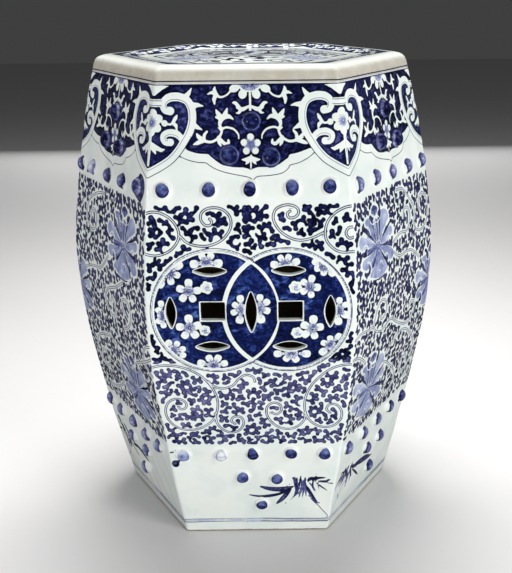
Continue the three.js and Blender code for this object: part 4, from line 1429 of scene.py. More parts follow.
def warp(P, n):
    """The slabs are hand pressed and warped a little in the kiln."""
    waves = ((0.34, 0.051, 0.012, 0.034, 0.4), (0.26, -0.021, 0.047, -0.041, 2.1), (0.16, 0.083, -0.031, 0.067, 4.4), (0.07, 0.19, 0.12, 0.155, 1.3), (0.05, -0.17, 0.21, -0.13, 5.2))
    d = np.zeros(len(P))
    g = np.zeros_like(P)
    for a, kx, ky, kz, ph in waves:
        k = np.array([kx, ky, kz])
        arg = P @ k + ph
        d += a * np.sin(arg)
        g += (a * np.cos(arg))[:, None] * k
    # nothing moves at the foot and at the rim
    f = np.clip(P[:, 2] / 30, 0, 1) * np.clip((TOP_Z - P[:, 2]) / 30, 0, 1)
    d = d * f
    g = g * f[:, None]
    P2 = P + n * d[:, None]
    n2 = n - (g - (g * n).sum(1)[:, None] * n)
    n2 /= np.linalg.norm(n2, axis=1)[:, None]
    return P2, n2


def dRZ(z):
    return (RZ(np.asarray(z) + 0.5) - RZ(np.asarray(z) - 0.5))


def skin(u, z, inset=None, tilt=None):
    """Outer face: arc length across and height to a point and its normal."""
    R = RZ(z)
    a = R * COS30
    uf = R / 2 - ARRIS * TAN30
    over = np.maximum(np.abs(u) - uf, 0)
    th = np.minimum(over / ARRIS, math.pi / 6)
    sg = np.sign(u)
    x = np.where(over > 0, sg * (uf + ARRIS * np.sin(th)), u)
    y = -a + ARRIS * (1 - np.cos(th))
    nx, ny = sg * np.sin(th), -np.cos(th)
    nz = -dRZ(z) * np.cos(math.pi / 6 - th)
    n = np.stack([nx, ny, nz], 1)
    n /= np.linalg.norm(n, axis=1)[:, None]
    P = np.stack([x, y, z], 1)
    if inset is not None:
        P[:, 0] += -nx * inset
        P[:, 1] += -ny * inset
        n = np.stack([nx * np.cos(tilt), ny * np.cos(tilt), -np.sin(tilt) + nz * np.cos(tilt)], 1)
        n /= np.linalg.norm(n, axis=1)[:, None]
    return P, n


def half_arc(z):
    return RZ(z) / 2 - ARRIS * TAN30 + ARRIS * math.pi / 6


def sample(cv, u, z):
    """Bilinear reading of the painting at given points."""
    fx = np.clip((u - cv.x0) / cv.g, 0, cv.nx - 1.001)
    fz = np.clip((z - cv.z0) / cv.g, 0, cv.nz - 1.001)
    i, j = fx.astype(int), fz.astype(int)
    a, b = fx - i, fz - j
    out = {}
    for name in ("F", "T", "Q", "P", "PT", "W", "H", "K"):
        A = getattr(cv, name)
        out[name] = A[j, i] * (1 - a) * (1 - b) + A[j, i + 1] * a * (1 - b) + A[j + 1, i] * (1 - a) * b + A[j + 1, i + 1] * a * b
    # the signed field is read at the nearest cell, then moved by its slope
    i2, j2 = np.clip((fx + 0.5).astype(int), 1, cv.nx - 2), np.clip((fz + 0.5).astype(int), 1, cv.nz - 2)
    out["S"] = cv.S[j2, i2]
    out["D"] = cv.D[j2, i2]
    for name in ("W", "H", "K", "T", "PT", "Q"):
        out[name] = getattr(cv, name)[j2, i2]
    same = np.ones(len(u), bool)
    s = [cv.S[j, i], cv.S[j, i + 1], cv.S[j + 1, i], cv.S[j + 1, i + 1]]
    lo, hi = np.minimum.reduce(s), np.maximum.reduce(s)
    same = (hi - lo) < 2.2 * cv.g
    sb = s[0] * (1 - a) * (1 - b) + s[1] * a * (1 - b) + s[2] * (1 - a) * b + s[3] * a * b
    out["S"] = np.where(same, sb, out["S"])
    d = [cv.D[j, i], cv.D[j, i + 1], cv.D[j + 1, i], cv.D[j + 1, i + 1]]
    out["D"] = d[0] * (1 - a) * (1 - b) + d[1] * a * (1 - b) + d[2] * (1 - a) * b + d[3] * a * b
    return out


NONE = {"F": -9.0, "T": 0.8, "Q": 0.0, "P": -9.0, "PT": 0.4, "S": 9.0, "D": 9.0, "W": 0.3, "H": 0.0, "K": 0.8, "G": 0.0}


def build(name, P, tris, normals, paint, bare, uv_loops, mats, mat_idx):
    me = bpy.data.meshes.new(name)
    nv, nt = len(P), len(tris)
    me.vertices.add(nv)
    me.vertices.foreach_set("co", (P * 0.001).astype(np.float32).ravel())
    me.loops.add(nt * 3)
    me.loops.foreach_set("vertex_index", tris.astype(np.int32).ravel())
    me.polygons.add(nt)
    me.polygons.foreach_set("loop_start", np.arange(0, nt * 3, 3, dtype=np.int32))
    me.polygons.foreach_set("material_index", mat_idx.astype(np.int32))
    me.polygons.foreach_set("use_smooth", np.ones(nt, bool))
    me.update(calc_edges=True)
    pack = {"pa": ("F", "T", "Q"), "pb": ("P", "PT", "K"), "pc": ("S", "D", "W")}
    for an, keys in pack.items():
        at = me.attributes.new(an, "FLOAT_VECTOR", "POINT")
        at.data.foreach_set("vector", np.stack([paint[k] for k in keys], 1).astype(np.float32).ravel())
    at = me.attributes.new("pd", "FLOAT_VECTOR", "POINT")
    at.data.foreach_set("vector", np.stack([paint["H"], bare, paint.get("G", np.zeros(nv))], 1).astype(np.float32).ravel())
    if uv_loops is not None:
        uv = me.uv_layers.new(name="OFBake")
        uv.data.foreach_set("uv", uv_loops.astype(np.float32).ravel())
    for m in mats:
        me.materials.append(m)
    if normals is not None:
        me.normals_split_custom_set_from_vertices(normals.astype(float).tolist())
    ob = bpy.data.objects.new(name, me)
    bpy.context.scene.collection.objects.link(ob)
    return ob


def hole_field(shapes):
    fns = [polygon(s)[1] for s in shapes]

    def h(u, z):
        out = fns[0](u, z)
        for f in fns[1:]:
            out = np.maximum(out, f(u, z))
        return out

    return h


def rounded(shape_pts, r):
    """Signed distance of the shape with its corners rounded."""
    c = shape_pts.mean(0)
    d = shape_pts - c
    ext = np.abs(d).max(0)
    shrunk = c + d * (1 - r / ext)
    f = polygon(shrunk)[1]
    return lambda u, z: f(u, z) + r


def rows_for(pierced):
    z = [0.0, 0.18, 0.6, 1.2, 1.8, 2.6, 3.6]
    z += list(np.arange(4.8, 9.0, 1.2))
    z += list(np.arange(9.0, 16.4, 0.75))
    z += list(np.arange(17.2, 62.0, 1.15))
    z += list(np.arange(63.0, 112.0, 2.6))
    z += list(np.arange(112.6, 354.4, 0.93))
    z += list(np.arange(355.4, 371.0, 2.4))
    z += list(np.arange(371.6, 449.5, 0.9))
    z += list(np.arange(450.0, 452.4, 0.5))
    z = np.array(z)
    z = z[z < TOP_Z - 0.25]
    return np.append(z, TOP_Z)


def wall_panel(name, k, cv, pierced, mats, seed):
    zr = rows_for(pierced)
    nc_arc = 3
    nc_flat = 196
    nr = len(zr)
    HA = half_arc(zr)
    uf = RZ(zr) / 2 - ARRIS * TAN30
    t_flat = np.linspace(-1, 1, nc_flat)
    arc = np.linspace(0, 1, nc_arc + 1)[1:]
    U = np.concatenate([-(uf[:, None] + (HA - uf)[:, None] * arc[::-1]), uf[:, None] * t_flat, uf[:, None] + (HA - uf)[:, None] * arc], 1)
    nc = U.shape[1]
    Z = np.broadcast_to(zr[:, None], U.shape).copy()
    idx = np.arange(nr * nc).reshape(nr, nc)
    u, z = U.ravel().copy(), Z.ravel().copy()
    a, b, c, d = idx[:-1, :-1].ravel(), idx[:-1, 1:].ravel(), idx[1:, 1:].ravel(), idx[1:, :-1].ravel()
    par = (np.add.outer(np.arange(nr - 1), np.arange(nc - 1)) % 2).ravel().astype(bool)
    t1 = np.where(par[:, None], np.stack([a, b, c], 1), np.stack([a, b, d], 1))
    t2 = np.where(par[:, None], np.stack([a, c, d], 1), np.stack([b, c, d], 1))
    tris = np.vstack([t1, t2])
    loops = []
    shapes = []
    if pierced:
        fns = [rounded(rect_pts(*q), 1.2) for q in SQUARES] + [rounded(lens_pts(*q, n=14), 0.7) for q in LENSES]
        boxes = list(SQUARES) + list(LENSES)
        v = np.full(len(u), -9.0)
        which = np.zeros(len(u), int)
        for hi, (fn, q) in enumerate(zip(fns, boxes)):
            m = (np.abs(u - q[0]) < q[2] + 6) & (np.abs(z - q[1]) < q[3] + 6)
            ids = np.nonzero(m)[0]
            h = fn(u[ids], z[ids]) + LIP
            better = h > v[ids]
            v[ids[better]] = h[better]
            which[ids[better]] = hi
        # pull near vertices on to the contour
        for it in range(2):
            near = np.nonzero(np.abs(v) < 0.34)[0]
            for hi, fn in enumerate(fns):
                q = near[which[near] == hi]
                if len(q) == 0:
                    continue
                e = 0.05
                uu, zz = u[q], z[q]
                h0 = fn(uu, zz) + LIP
                gx = (fn(uu + e, zz) - fn(uu - e, zz)) / (2 * e)
                gz = (fn(uu, zz + e) - fn(uu, zz - e)) / (2 * e)
                g2 = np.maximum(gx * gx + gz * gz, 0.3)
                u[q] -= h0 * gx / g2
                z[q] -= h0 * gz / g2
        v[np.abs(v) < 0.34] = 0.0
        vt = v[tris]
        keep = (vt <= 0).all(1) & ~(vt == 0).all(1)
        mixed = (vt > 0).any(1) & (vt < 0).any(1)
        kept = [tris[keep]]
        new_u, new_z, made = [], [], {}
        base = len(u)

        def cross(i, j):
            key = (min(i, j), max(i, j))
            if key not in made:
                f = v[i] / (v[i] - v[j])
                made[key] = base + len(new_u)
                new_u.append(u[i] + (u[j] - u[i]) * f)
                new_z.append(z[i] + (z[j] - z[i]) * f)
            return made[key]

        extra = []
        for tri in tris[mixed]:
            poly = []
            for q in range(3):
                i, j = int(tri[q]), int(tri[(q + 1) % 3])
                if v[i] <= 0:
                    poly.append(i)
                if v[i] * v[j] < 0:
                    poly.append(cross(i, j))
            for q in range(1, len(poly) - 1):
                extra.append((poly[0], poly[q], poly[q + 1]))
        tris = np.vstack([tris[keep], np.array(extra, int)]) if extra else tris[keep]
        u = np.append(u, new_u)
        z = np.append(z, new_z)
        v = np.append(v, np.zeros(len(new_u)))
        # rim of each opening, in order
        e = np.vstack([tris[:, [0, 1]], tris[:, [1, 2]], tris[:, [2, 0]]])
        on = (v[e[:, 0]] == 0) & (v[e[:, 1]] == 0)
        e = e[on]
        seen = {}
        for i, j in e.tolist():
            seen[(i, j)] = 1
        nxt = {i: j for (i, j) in seen if (j, i) not in seen}
        while nxt:
            s0 = next(iter(nxt))
            lp = [s0]
            while True:
                n1 = nxt.pop(lp[-1], None)
                if n1 is None or n1 == s0:
                    break
                lp.append(n1)
            if len(lp) > 8:
                loops.append(lp)
        shapes = (fns, boxes)
    # close the slab
    P, n = skin(u, z)
    lowrow = z < FOOT - 1e-6
    if lowrow.any():
        zz = z[lowrow]
        tilt = np.arcsin(np.clip(1 - zz / FOOT, 0, 1))
        Pl, nl = skin(u[lowrow], zz, inset=FOOT * (1 - np.cos(tilt)), tilt=tilt)
        P[lowrow], n[lowrow] = Pl, nl
    ang = k * math.pi / 3
    Rm = np.array([[math.cos(ang), -math.sin(ang), 0], [math.sin(ang), math.cos(ang), 0], [0, 0, 1]])
    Pw, nw = P @ Rm.T, n @ Rm.T
    Pw, nw = warp(Pw, nw)
    paint = sample(cv, u, z)
    # the glaze lies thicker and whiter round every boss; the whiter ring is partly a painted highlight on the raised
    # slip fillet
    halo = np.full(len(u), 99.0)
    for bx, bz in ROW[k % 3] + LOW[k % 3]:
        np.minimum(halo, np.hypot(u - bx, z - bz), out=halo)
    paint["G"] = -0.6 * np.clip((10.6 - halo) / 2.4, 0, 1)
    # bare along the foot; the material paints it dark brown, partly as a painted contact shadow
    bare = np.clip((2.0 - z) / 1.8, -1, 1)
    n_skin = len(u)
    groups = [np.zeros(len(tris), int)]
    allP, alln = [Pw], [nw]
    allpaint = {key: [val] for key, val in paint.items()}
    allbare = [bare]
    allT = [tris]
    count = n_skin

    def push(Pn, nn, br):
        nonlocal count
        Pn, nn = Pn @ Rm.T, nn @ Rm.T
        allP.append(Pn)
        alln.append(nn)
        for key in allpaint:
            allpaint[key].append(np.full(len(Pn), NONE[key]))
        allbare.append(np.broadcast_to(br, (len(Pn),)).astype(float))
        first = count
        count += len(Pn)
        return first

    # rings through the wall
    inner_loops = []
    for lp in loops:
        lp = np.array(lp)
        cu, cz = u[lp].mean(), z[lp].mean()
        fns, boxes = shapes
        hi = int(np.argmin([math.hypot(cu - q[0], cz - q[1]) for q in boxes]))
        fn = fns[hi]
        e = 0.08
        gx = (fn(u[lp] + e, z[lp]) - fn(u[lp] - e, z[lp])) / (2 * e)
        gz = (fn(u[lp], z[lp] + e) - fn(u[lp], z[lp] - e)) / (2 * e)
        gl = np.maximum(np.hypot(gx, gz), 1e-6)
        gx, gz = gx / gl, gz / gl
        Pl, nl = skin(u[lp], z[lp])
        # the skin was warped, so the rings start from where it is
        start = Pw[lp] @ Rm
        prev = lp
        rings = []
        for th in (25, 50, 75, 90):
            t = math.radians(th)
            rings.append((LIP * math.sin(t), LIP * (1 - math.cos(t)), t, 0.0))
        rings += [(LIP, 3.0, math.pi / 2, -0.6), (LIP, 5.6, math.pi / 2, -0.2), (LIP - 0.4, 7.2, 1.9, 0.4), (LIP - 3.0, WALL, 2.2, 1.0)]
        for off, dep, t, br in rings:
            Q = start.copy()
            Q[:, 0] += gx * off
            Q[:, 2] += gz * off
            Q[:, 1] += dep
            nn = np.stack([gx * math.sin(t), np.full(len(lp), -math.cos(t)), gz * math.sin(t)], 1)
            nn /= np.linalg.norm(nn, axis=1)[:, None]
            first = push(Q, nn, br)
            cur = np.arange(first, first + len(lp))
            p1, c1 = np.roll(prev, -1), np.roll(cur, -1)
            allT.append(np.vstack([np.stack([p1, prev, cur], 1), np.stack([p1, cur, c1], 1)]))
            groups.append(np.full(2 * len(lp), 1))
            prev = cur
        inner_loops.append((prev, Q[:, [0, 2]]))
    # perimeter and inner face
    grid = idx
    per = np.concatenate([grid[0, :], grid[1:, -1], grid[-1, -2::-1], grid[-2:0:-1, 0]])
    uz, zz = u[per], z[per]
    a_in = RZ(zz) * COS30 - WALL
    x_in = uz * (a_in * TAN30 - 0.12) / half_arc(zz)
    z_in = np.clip(zz, 0.0, TOP_Z)
    Pi = np.stack([x_in, -a_in, z_in], 1)
    ni = np.tile([0.0, 1.0, 0.0], (len(per), 1))
    first = push(Pi, ni, 1.0)
    cur = np.arange(first, first + len(per))
    p1, c1 = np.roll(per, -1), np.roll(cur, -1)
    allT.append(np.vstack([np.stack([p1, per, cur], 1), np.stack([p1, cur, c1], 1)]))
    groups.append(np.full(2 * len(per), 2))
    pts2 = [Vector((float(x), float(q))) for x, q in zip(x_in, z_in)]
    ids = list(cur)
    edges = [(i, (i + 1) % len(per)) for i in range(len(per))]
    holes2 = []
    for lp_ids, xz in inner_loops:
        o = len(pts2)
        pts2 += [Vector((float(x), float(q))) for x, q in xz]
        ids += list(lp_ids)
        m = len(lp_ids)
        edges += [(o + i, o + (i + 1) % m) for i in range(m)]
        holes2.append(polygon(xz)[1])
    gx, gz = np.meshgrid(np.arange(-84, 85, 14.0), np.arange(10, 446, 14.0))
    gx, gz = gx.ravel(), gz.ravel()
    ok = np.abs(gx) < (RZ(gz) * COS30 - WALL) * TAN30 - 5
    for f in holes2:
        ok &= f(gx, gz) < -3
    gx, gz = gx[ok], gz[ok]
    Pg = np.stack([gx, -(RZ(gz) * COS30 - WALL), gz], 1)
    first = push(Pg, np.tile([0.0, 1.0, 0.0], (len(gx), 1)), 1.0)
    pts2 += [Vector((float(x), float(q))) for x, q in zip(gx, gz)]
    ids += list(range(first, first + len(gx)))
    ids = np.array(ids)
    vo, eo, fo, ov, oe, of_ = delaunay_2d_cdt(pts2, edges, [], 0, 1e-5)
    back = np.array([ids[q[0]] if len(q) else -1 for q in ov])
    tri2 = np.array([f for f in fo if len(f) == 3])
    cc = np.array([[p.x, p.y] for p in vo])[tri2].mean(1)
    good = np.ones(len(tri2), bool)
    for f in holes2:
        good &= f(cc[:, 0], cc[:, 1]) < 0
    t = back[tri2[good]]
    t = t[(t >= 0).all(1)]
    # facing the hollow
    allPc = np.vstack(allP)
    loc = allPc @ Rm
    nrm = np.cross(loc[t[:, 1]] - loc[t[:, 0]], loc[t[:, 2]] - loc[t[:, 0]])
    rev = nrm[:, 1] < 0
    t[rev] = t[rev][:, ::-1]
    allT.append(t)
    groups.append(np.full(len(t), 2))
    P = np.vstack(allP)
    N = np.vstack(alln)
    T = np.vstack(allT)
    G = np.concatenate(groups)
    paint = {key: np.concatenate(val) for key, val in allpaint.items()}
    bare = np.concatenate(allbare)
    # only what is used
    used = np.zeros(len(P), bool)
    used[T.ravel()] = True
    remap = np.cumsum(used) - 1
    uu = np.zeros(len(P))
    zz = P[:, 2].copy()
    uu[:n_skin] = u
    loc = P @ Rm
    uu[n_skin:] = loc[n_skin:, 0]
    T2 = remap[T]
    flat = T.ravel()
    g3 = np.repeat(G, 3)
    ux = np.where(g3 == 0, 0.002 + 0.87 * (uu[flat] / 192 + 0.5), 0.885 + 0.11 * (uu[flat] / 192 + 0.5))
    uy = np.where(g3 == 0, 0.001 + 0.998 * zz[flat] / TOP_Z, 0.002 + 0.99 * zz[flat] / (TOP_Z + 2))
    uvl = np.stack([ux, uy], 1)
    ob = build(name, P[used], T2, N[used], {key: val[used] for key, val in paint.items()}, bare[used], uvl, mats, np.where(G == 2, 1, 0))
    return ob


# ---------------------------------------------------------------- bosses
ROW = [
    [(-74.2, 365.8), (-34.4, 365.8), (1.2, 366.0), (37.8, 366.6), (70.0, 367.6)],
    [(-72.5, 366.0), (-34.5, 365.4), (0.8, 364.4), (38.0, 364.0), (74.5, 364.0)],
    [(-77.0, 364.0), (-47.0, 364.4), (-4.0, 363.6), (32.0, 364.2), (69.0, 365.6)],
]
COLLAR = [(3, 421.8), (-16, 394.2), (20, 392.4)]
LOW = [
    [(-70.8, 102.0), (-33.6, 101.6), (-1.6, 103.0), (36.0, 103.8), (68.8, 102.4), (-13.0, 73.8), (21.8, 71.6), (5.8, 38.4)],
    [(-68.5, 100.6), (-32.0, 100.4), (5.0, 100.6), (38.0, 101.2), (71.5, 100.2), (-10.0, 71.6), (24.0, 70.8), (8.5, 38.8)],
    [(-73.5, 100.8), (-43.0, 99.6), (-7.0, 100.6), (26.0, 98.8), (60.0, 101.4), (-26.0, 73.4), (12.5, 72.8), (-9.5, 40.0)],
]


def boss_mesh(r, h, cap, rng, dark, depth, ring, m, high):
    """A domed button with a slip fillet; positions on the flat wall."""
    prof = [(r * 1.14, -1.2)]
    # fillet, flank, crown: radius and stand-off
    for t in np.linspace(0, 1, 6):
        prof.append((r * (1.2 - 0.2 * t), 0.04 + 0.5 * t * t))
    for t in np.linspace(0.12, 1, 13):
        a = t * math.pi / 2
        prof.append((r * math.cos(a) ** 0.8, 0.66 + (h - 0.66) * math.sin(a) ** 1.1))
    prof[-1] = (0.0, h)
    nn = 44
    th = np.linspace(0, TAU, nn, endpoint=False)
    lop = 1 + 0.03 * np.sin(2 * th + rng.uniform(0, 6)) + 0.015 * np.sin(3 * th + rng.uniform(0, 6))
    sx, sz = rng.uniform(-0.25, 0.25, 2)
    P, tris = [], []
    for pr, ph in prof[:-1]:
        f = max(0.0, ph) / h
        P.append(np.stack([pr * lop * np.cos(th) + sx * f, pr * lop * np.sin(th) + sz * f, np.full(nn, ph)], 1))
    rings = len(prof) - 1
    P = np.vstack(P + [[[sx, sz, h]], [[0, 0, -1.2]]])
    for i in range(rings - 1):
        a = i * nn + np.arange(nn)
        b = i * nn + (np.arange(nn) + 1) % nn
        tris.append(np.stack([a, b, b + nn], 1))
        tris.append(np.stack([a, b + nn, a + nn], 1))
    last = (rings - 1) * nn
    j = np.arange(nn)
    tris.append(np.stack([last + j, last + (j + 1) % nn, np.full(nn, rings * nn)], 1))
    tris.append(np.stack([(j + 1) % nn, j, np.full(nn, rings * nn + 1)], 1))
    tris = np.vstack(tris)
    th2 = np.arctan2(P[:, 1], P[:, 0])
    wob = 0.2 * np.sin(2 * th2 + rng.uniform(0, 6)) + 0.15 * np.sin(3 * th2 + rng.uniform(0, 6))
    ox, oz = rng.uniform(-0.3, 0.3, 2)
    rad = np.hypot(P[:, 0] - ox, (P[:, 1] - oz) * 0.87)
    F = cap + wob - rad
    if dark:
        F = np.full(len(P), 4.0)
        # painted highlight: the upper part is lighter and a pale spot sits up and to the left; the paler ring at the
        # foot is thinner glaze
        T = np.full(len(P), depth) - 0.1 * np.clip(P[:, 1] / r - 0.3, 0, 1)
        edge = np.hypot(P[:, 0], P[:, 1]) / r
        T -= (0.34 + 0.1 * np.sin(th2 * 2 + 1)) * np.exp(-((edge - 1.0) / 0.075) ** 2)
        T -= 0.16 * np.exp(-((P[:, 0] + 1.6) ** 2 + (P[:, 1] - 2.2) ** 2) / 3.5)
    else:
        # the colour pools in a ring and on the lower side of the cap, and runs thin above. The darker lower side (and,
        # on the side walls, one darker side) is also painted shade, and the paler top is also painted light.
        u, v = (P[:, 0] - ox) / cap, (P[:, 1] - oz) * 0.87 / cap
        low = np.clip(m * 0.45 * u - 0.89 * v, -1, 1)
        T = depth + 0.1 * low + ring * np.clip(rad / cap - 0.5, 0, 0.5) / 0.5
        T -= high * np.clip(v - 0.25, 0, 0.75) / 0.75
    return P, tris, F, T


# depth of the blue on the upper row, on the lower bosses, and its darker rim
TONES = {
    "front": ([0.77, 0.76, 0.88, 0.76, 0.8], [0.5, 0.22, 0.88, 0.86, 0.8, 0.76, 0.74, 0.78], [-0.08, 0.26, 0.06, 0.06, 0.06, 0.06, 0.12, 0.06]),
    "front_right": ([0.58, 0.6, 0.56, 0.64, 0.62], [0.6, 0.62, 0.66, 0.74, 0.72, 0.66, 0.68, 0.7], [0.22] * 8),
    "front_left": ([0.66, 0.34, 0.62, 0.64, 0.8], [0.66, 0.56, 0.58, 0.56, 0.52, 0.56, 0.56, 0.62], [0.18] * 8),
}


def boss_piece(name, k, mats, seed, side):
    rng = np.random.default_rng(seed)
    Ps, Ts, Fs, Tn = [], [], [], []
    count = 0
    row, low, rim = TONES.get(side, (rng.uniform(0.64, 0.8, 5), rng.uniform(0.6, 0.78, 8), rng.uniform(0.08, 0.2, 8)))
    kind = k % 3
    wide = 0.0 if kind == 0 else 0.9
    top_ring = 0.05 if kind == 0 else 0.22
    high = 0.26 if kind == 0 else 0.05
    spots = [(x, z, 6.9, 5.2, 5.65 + wide, False, row[i], top_ring) for i, (x, z) in enumerate(ROW[kind])]
    if k == 5:
        spots[4] = (*ROW[kind][4], 6.9, 5.2, 9, True, 0.82, 0.0)
    spots += [(x, z, 7.5, 6.4, 9, True, rng.uniform(0.92, 1.0), 0.0) for x, z in COLLAR]
    spots += [(x, z, 7.0, 5.5, 5.7 + wide, False, low[i], rim[i]) for i, (x, z) in enumerate(LOW[kind])]
    for x, z, r, h, cap, dark, depth, ring in spots:
        x = x + rng.uniform(-0.3, 0.3)
        z = z + rng.uniform(-0.3, 0.3)
        P, tris, F, T = boss_mesh(r * rng.uniform(0.97, 1.04), h * rng.uniform(0.95, 1.05), cap * rng.uniform(0.97, 1.04), rng, dark, depth, ring, (0, 1, -1)[kind], high)
        # laid on the wall in its tangent frame
        c, n = skin(np.array([x]), np.array([z]))
        c, n = c[0], n[0]
        ex = np.array([1.0, 0, 0])
        ez = np.cross(ex, n)
        ez /= np.linalg.norm(ez)
        if ez[2] < 0:
            ez = -ez
        Ps.append(c + P[:, :1] * ex + P[:, 1:2] * ez + P[:, 2:3] * n)
        Ts.append(tris + count)
        Fs.append(F)
        Tn.append(T)
        count += len(P)
    P = np.vstack(Ps)
    ang = k * math.pi / 3
    Rm = np.array([[math.cos(ang), -math.sin(ang), 0], [math.sin(ang), math.cos(ang), 0], [0, 0, 1]])
    P = P @ Rm.T
    P, _ = warp(P, np.tile(Rm @ np.array([0, -1.0, 0]), (len(P), 1)))
    T = np.vstack(Ts)
    n = len(P)
    paint = {key: np.full(n, val) for key, val in NONE.items()}
    paint["F"] = np.concatenate(Fs)
    paint["T"] = np.clip(np.concatenate(Tn), 0.05, 1)
    paint["Q"] = np.full(n, 0.5 if kind == 0 else 0.12)
    # whiter glaze on the bosses: thick glaze, and partly a painted highlight on the raised domes
    paint["G"] = np.full(n, -0.45 if kind == 0 else -0.2)
    return build(name, P, T, None, paint, np.full(n, -1.0), None, mats, np.zeros(len(T)))


# ---------------------------------------------------------------- top
AX = [np.array([math.cos(a), math.sin(a)]) for a in (math.pi / 6, math.pi / 2, 5 * math.pi / 6)]


def hexq(x, y):
    """Distance from the middle measured square to the nearest side."""
    q = np.abs(x * AX[0][0] + y * AX[0][1])
    for a in AX[1:]:
        q = np.maximum(q, np.abs(x * a[0] + y * a[1]))
    return q


def hexsoft(x, y, p=10):
    s = 0
    for a in AX:
        s = s + np.abs(x * a[0] + y * a[1]) ** p
    return s ** (1 / p)


def hex_pts(q):
    R = q / COS30
    return [(R * math.cos(k * math.pi / 3), R * math.sin(k * math.pi / 3)) for k in range(6)]


def paint_top(rng):
    cv = Canvas(-150, 150, -136, 136, 0.5)
    # outer band: plum flowers and leaf sprays on blue
    band = ((-140, 140, -120, 120), lambda x, z: np.minimum(116.4 - hexq(x, z), hexq(x, z) - 97.2))
    cv.add(band, 0.93, 0.4)
    for k in range(6):
        a = math.pi / 6 + k * math.pi / 3
        n = np.array([math.cos(a), math.sin(a)])
        t = np.array([-n[1], n[0]])
        for s in (-38, 0, 38):
            c = n * 106.8 + t * (s + rng.uniform(-1.5, 1.5))
            rot = rng.uniform(0, 6)
            pts = [(c[0] + 6.2 * math.cos(rot + TAU * i / 5), c[1] + 6.0 * math.sin(rot + TAU * i / 5)) for i in range(5)]
            blossom(cv, (c[0], c[1]), pts, rng, big=3.6, small=3.0)
            for m in (-1, 1):
                p = [c + t * m * 9.4, c + t * m * 13.0 + n * 3.4 * m, c + t * m * 17.2 - n * 0.6 * m]
                st = spline(p, 6)
                cv.cut(stroke(st, np.linspace(0.95, 0.7, len(st))))
                for da in (0.95, 0.0, -0.95):
                    b = math.atan2(*(t * m)[::-1]) + da
                    e = p[2]
                    cv.cut(stroke([(e[0], e[1]), (e[0] + 2.4 * math.cos(b), e[1] + 2.4 * math.sin(b)), (e[0] + 4.6 * math.cos(b), e[1] + 4.6 * math.sin(b))], [1.0, 1.45, 0.3]))
    for q, w in ((117.0, 0.9), (96.4, 0.9), (81.0, 1.5)):
        cv.line(hex_pts(q), w=w, ink=0.95, closed=True)
    # inner field: two linked coins on blue among lotus, mostly left white
    C = [(-21.0, 12.0), (19.5, 12.0)]
    R = 39.0
    t = np.linspace(0, TAU, 120)
    ring = lambda c, r: np.stack([c[0] + r * np.cos(t), c[1] + r * np.sin(t)], 1)
    for cx, cz in C:
        cv.block(disc(cx, cz, R + 1.5))
    for cx, cz in C:
        cv.add(disc(cx, cz, R), 0.86, 0.3)
    for cx, cz in C:
        cv.cut(((cx - R, cx + R, cz - R, cz + R), lambda x, z: 2.2 - np.abs(np.hypot(x - cx, z - cz) - R + 5.0)))
    for (cx, cz), s in zip(C, (-1, 1)):
        for dz in (-25.5, 25.5):
            cv.cut(polygon(lens_pts(cx + 3.0 * s, cz + dz, 10.5, 4.4)))
            cv.line(lens_pts(cx + 3.0 * s, cz + dz, 8.4, 2.4), w=0.5, ink=0.7, closed=True)
        cv.cut(polygon(lens_pts(cx + 27.0 * s, cz, 6.2, 13.5)))
        cv.line(lens_pts(cx + 27.0 * s, cz, 3.6, 10.5), w=0.5, ink=0.6, closed=True)
        cv.cut(polygon(rect_pts(cx + 5.5 * s, cz + 1.0, 10.0, 8.6)))
        cv.line(rect_pts(cx + 5.5 * s, cz + 1.0, 7.2, 5.8), w=0.9, ink=0.88, closed=True)
        for dx, dz in ((-10, 14.5), (17, 13.5), (-10, -14.5), (17, -13.5)):
            c = (cx + s * dx, cz + dz)
            rot = rng.uniform(0, 6)
            pts = [(c[0] + 4.6 * math.cos(rot + TAU * i / 5), c[1] + 4.6 * math.sin(rot + TAU * i / 5)) for i in range(5)]
            blossom(cv, c, pts, rng, big=2.8, small=2.4)
    # where they overlap
    both = ((-22, 22, -28, 52), lambda x, z: np.minimum(R - 5.4 - np.hypot(x - C[0][0], z - C[0][1]), R - 5.4 - np.hypot(x - C[1][0], z - C[1][1])))
    cv.cut(both)
    cv.pale(both, 0.1)
    cv.add(polygon(lens_pts(-1, 10.0, 5.0, 13.0)), 0.88, 0.3)
    cv.add(ellipse(-5, -6.0, 6.0, 4.0), 0.8, 0.3)
    for cx, cz in C:
        cv.line(ring((cx, cz), R + 0.5), w=0.8, ink=0.92, closed=True)
    for x, z, s, m in ((-58, -34, 0.66, 1), (53, -38, 0.66, -1), (-62, 46, 0.5, -1), (63, 42, 0.5, 1)):
        lotus(cv, x, z, s, rng, tone=rng.uniform(-0.2, -0.12), mirror=m, ink=0.5, bold=0.35)

    def ok(x, z, r):
        return hexq(x, z) + r < 75.0

    vs = [[(-92, 6), (-84, 14), (-74, 14), (-69, 5), (-74, -2), (-81, 1)], [(92, -4), (84, -12), (75, -10), (72, -1), (78, 5), (84, 2)], [(-36, 74), (-26, 76), (-18, 70), (-20, 61), (-28, 61)], [(30, -74), (22, -70), (19, -61), (26, -56), (33, -60)], [(20, 74), (30, 74), (36, 66), (31, 58), (23, 61)], [(-26, -76), (-36, -72), (-40, -62), (-34, -57), (-27, -62)]]
    for v in vs:
        vine(cv, v, 1.3, 0.9, w=0.7)
    scroll(cv, rng, (-95, 95, -82, 82), ok, vs, 0.92, 0.2, s=1.5, tries=160, gap=5.0)
    return cv


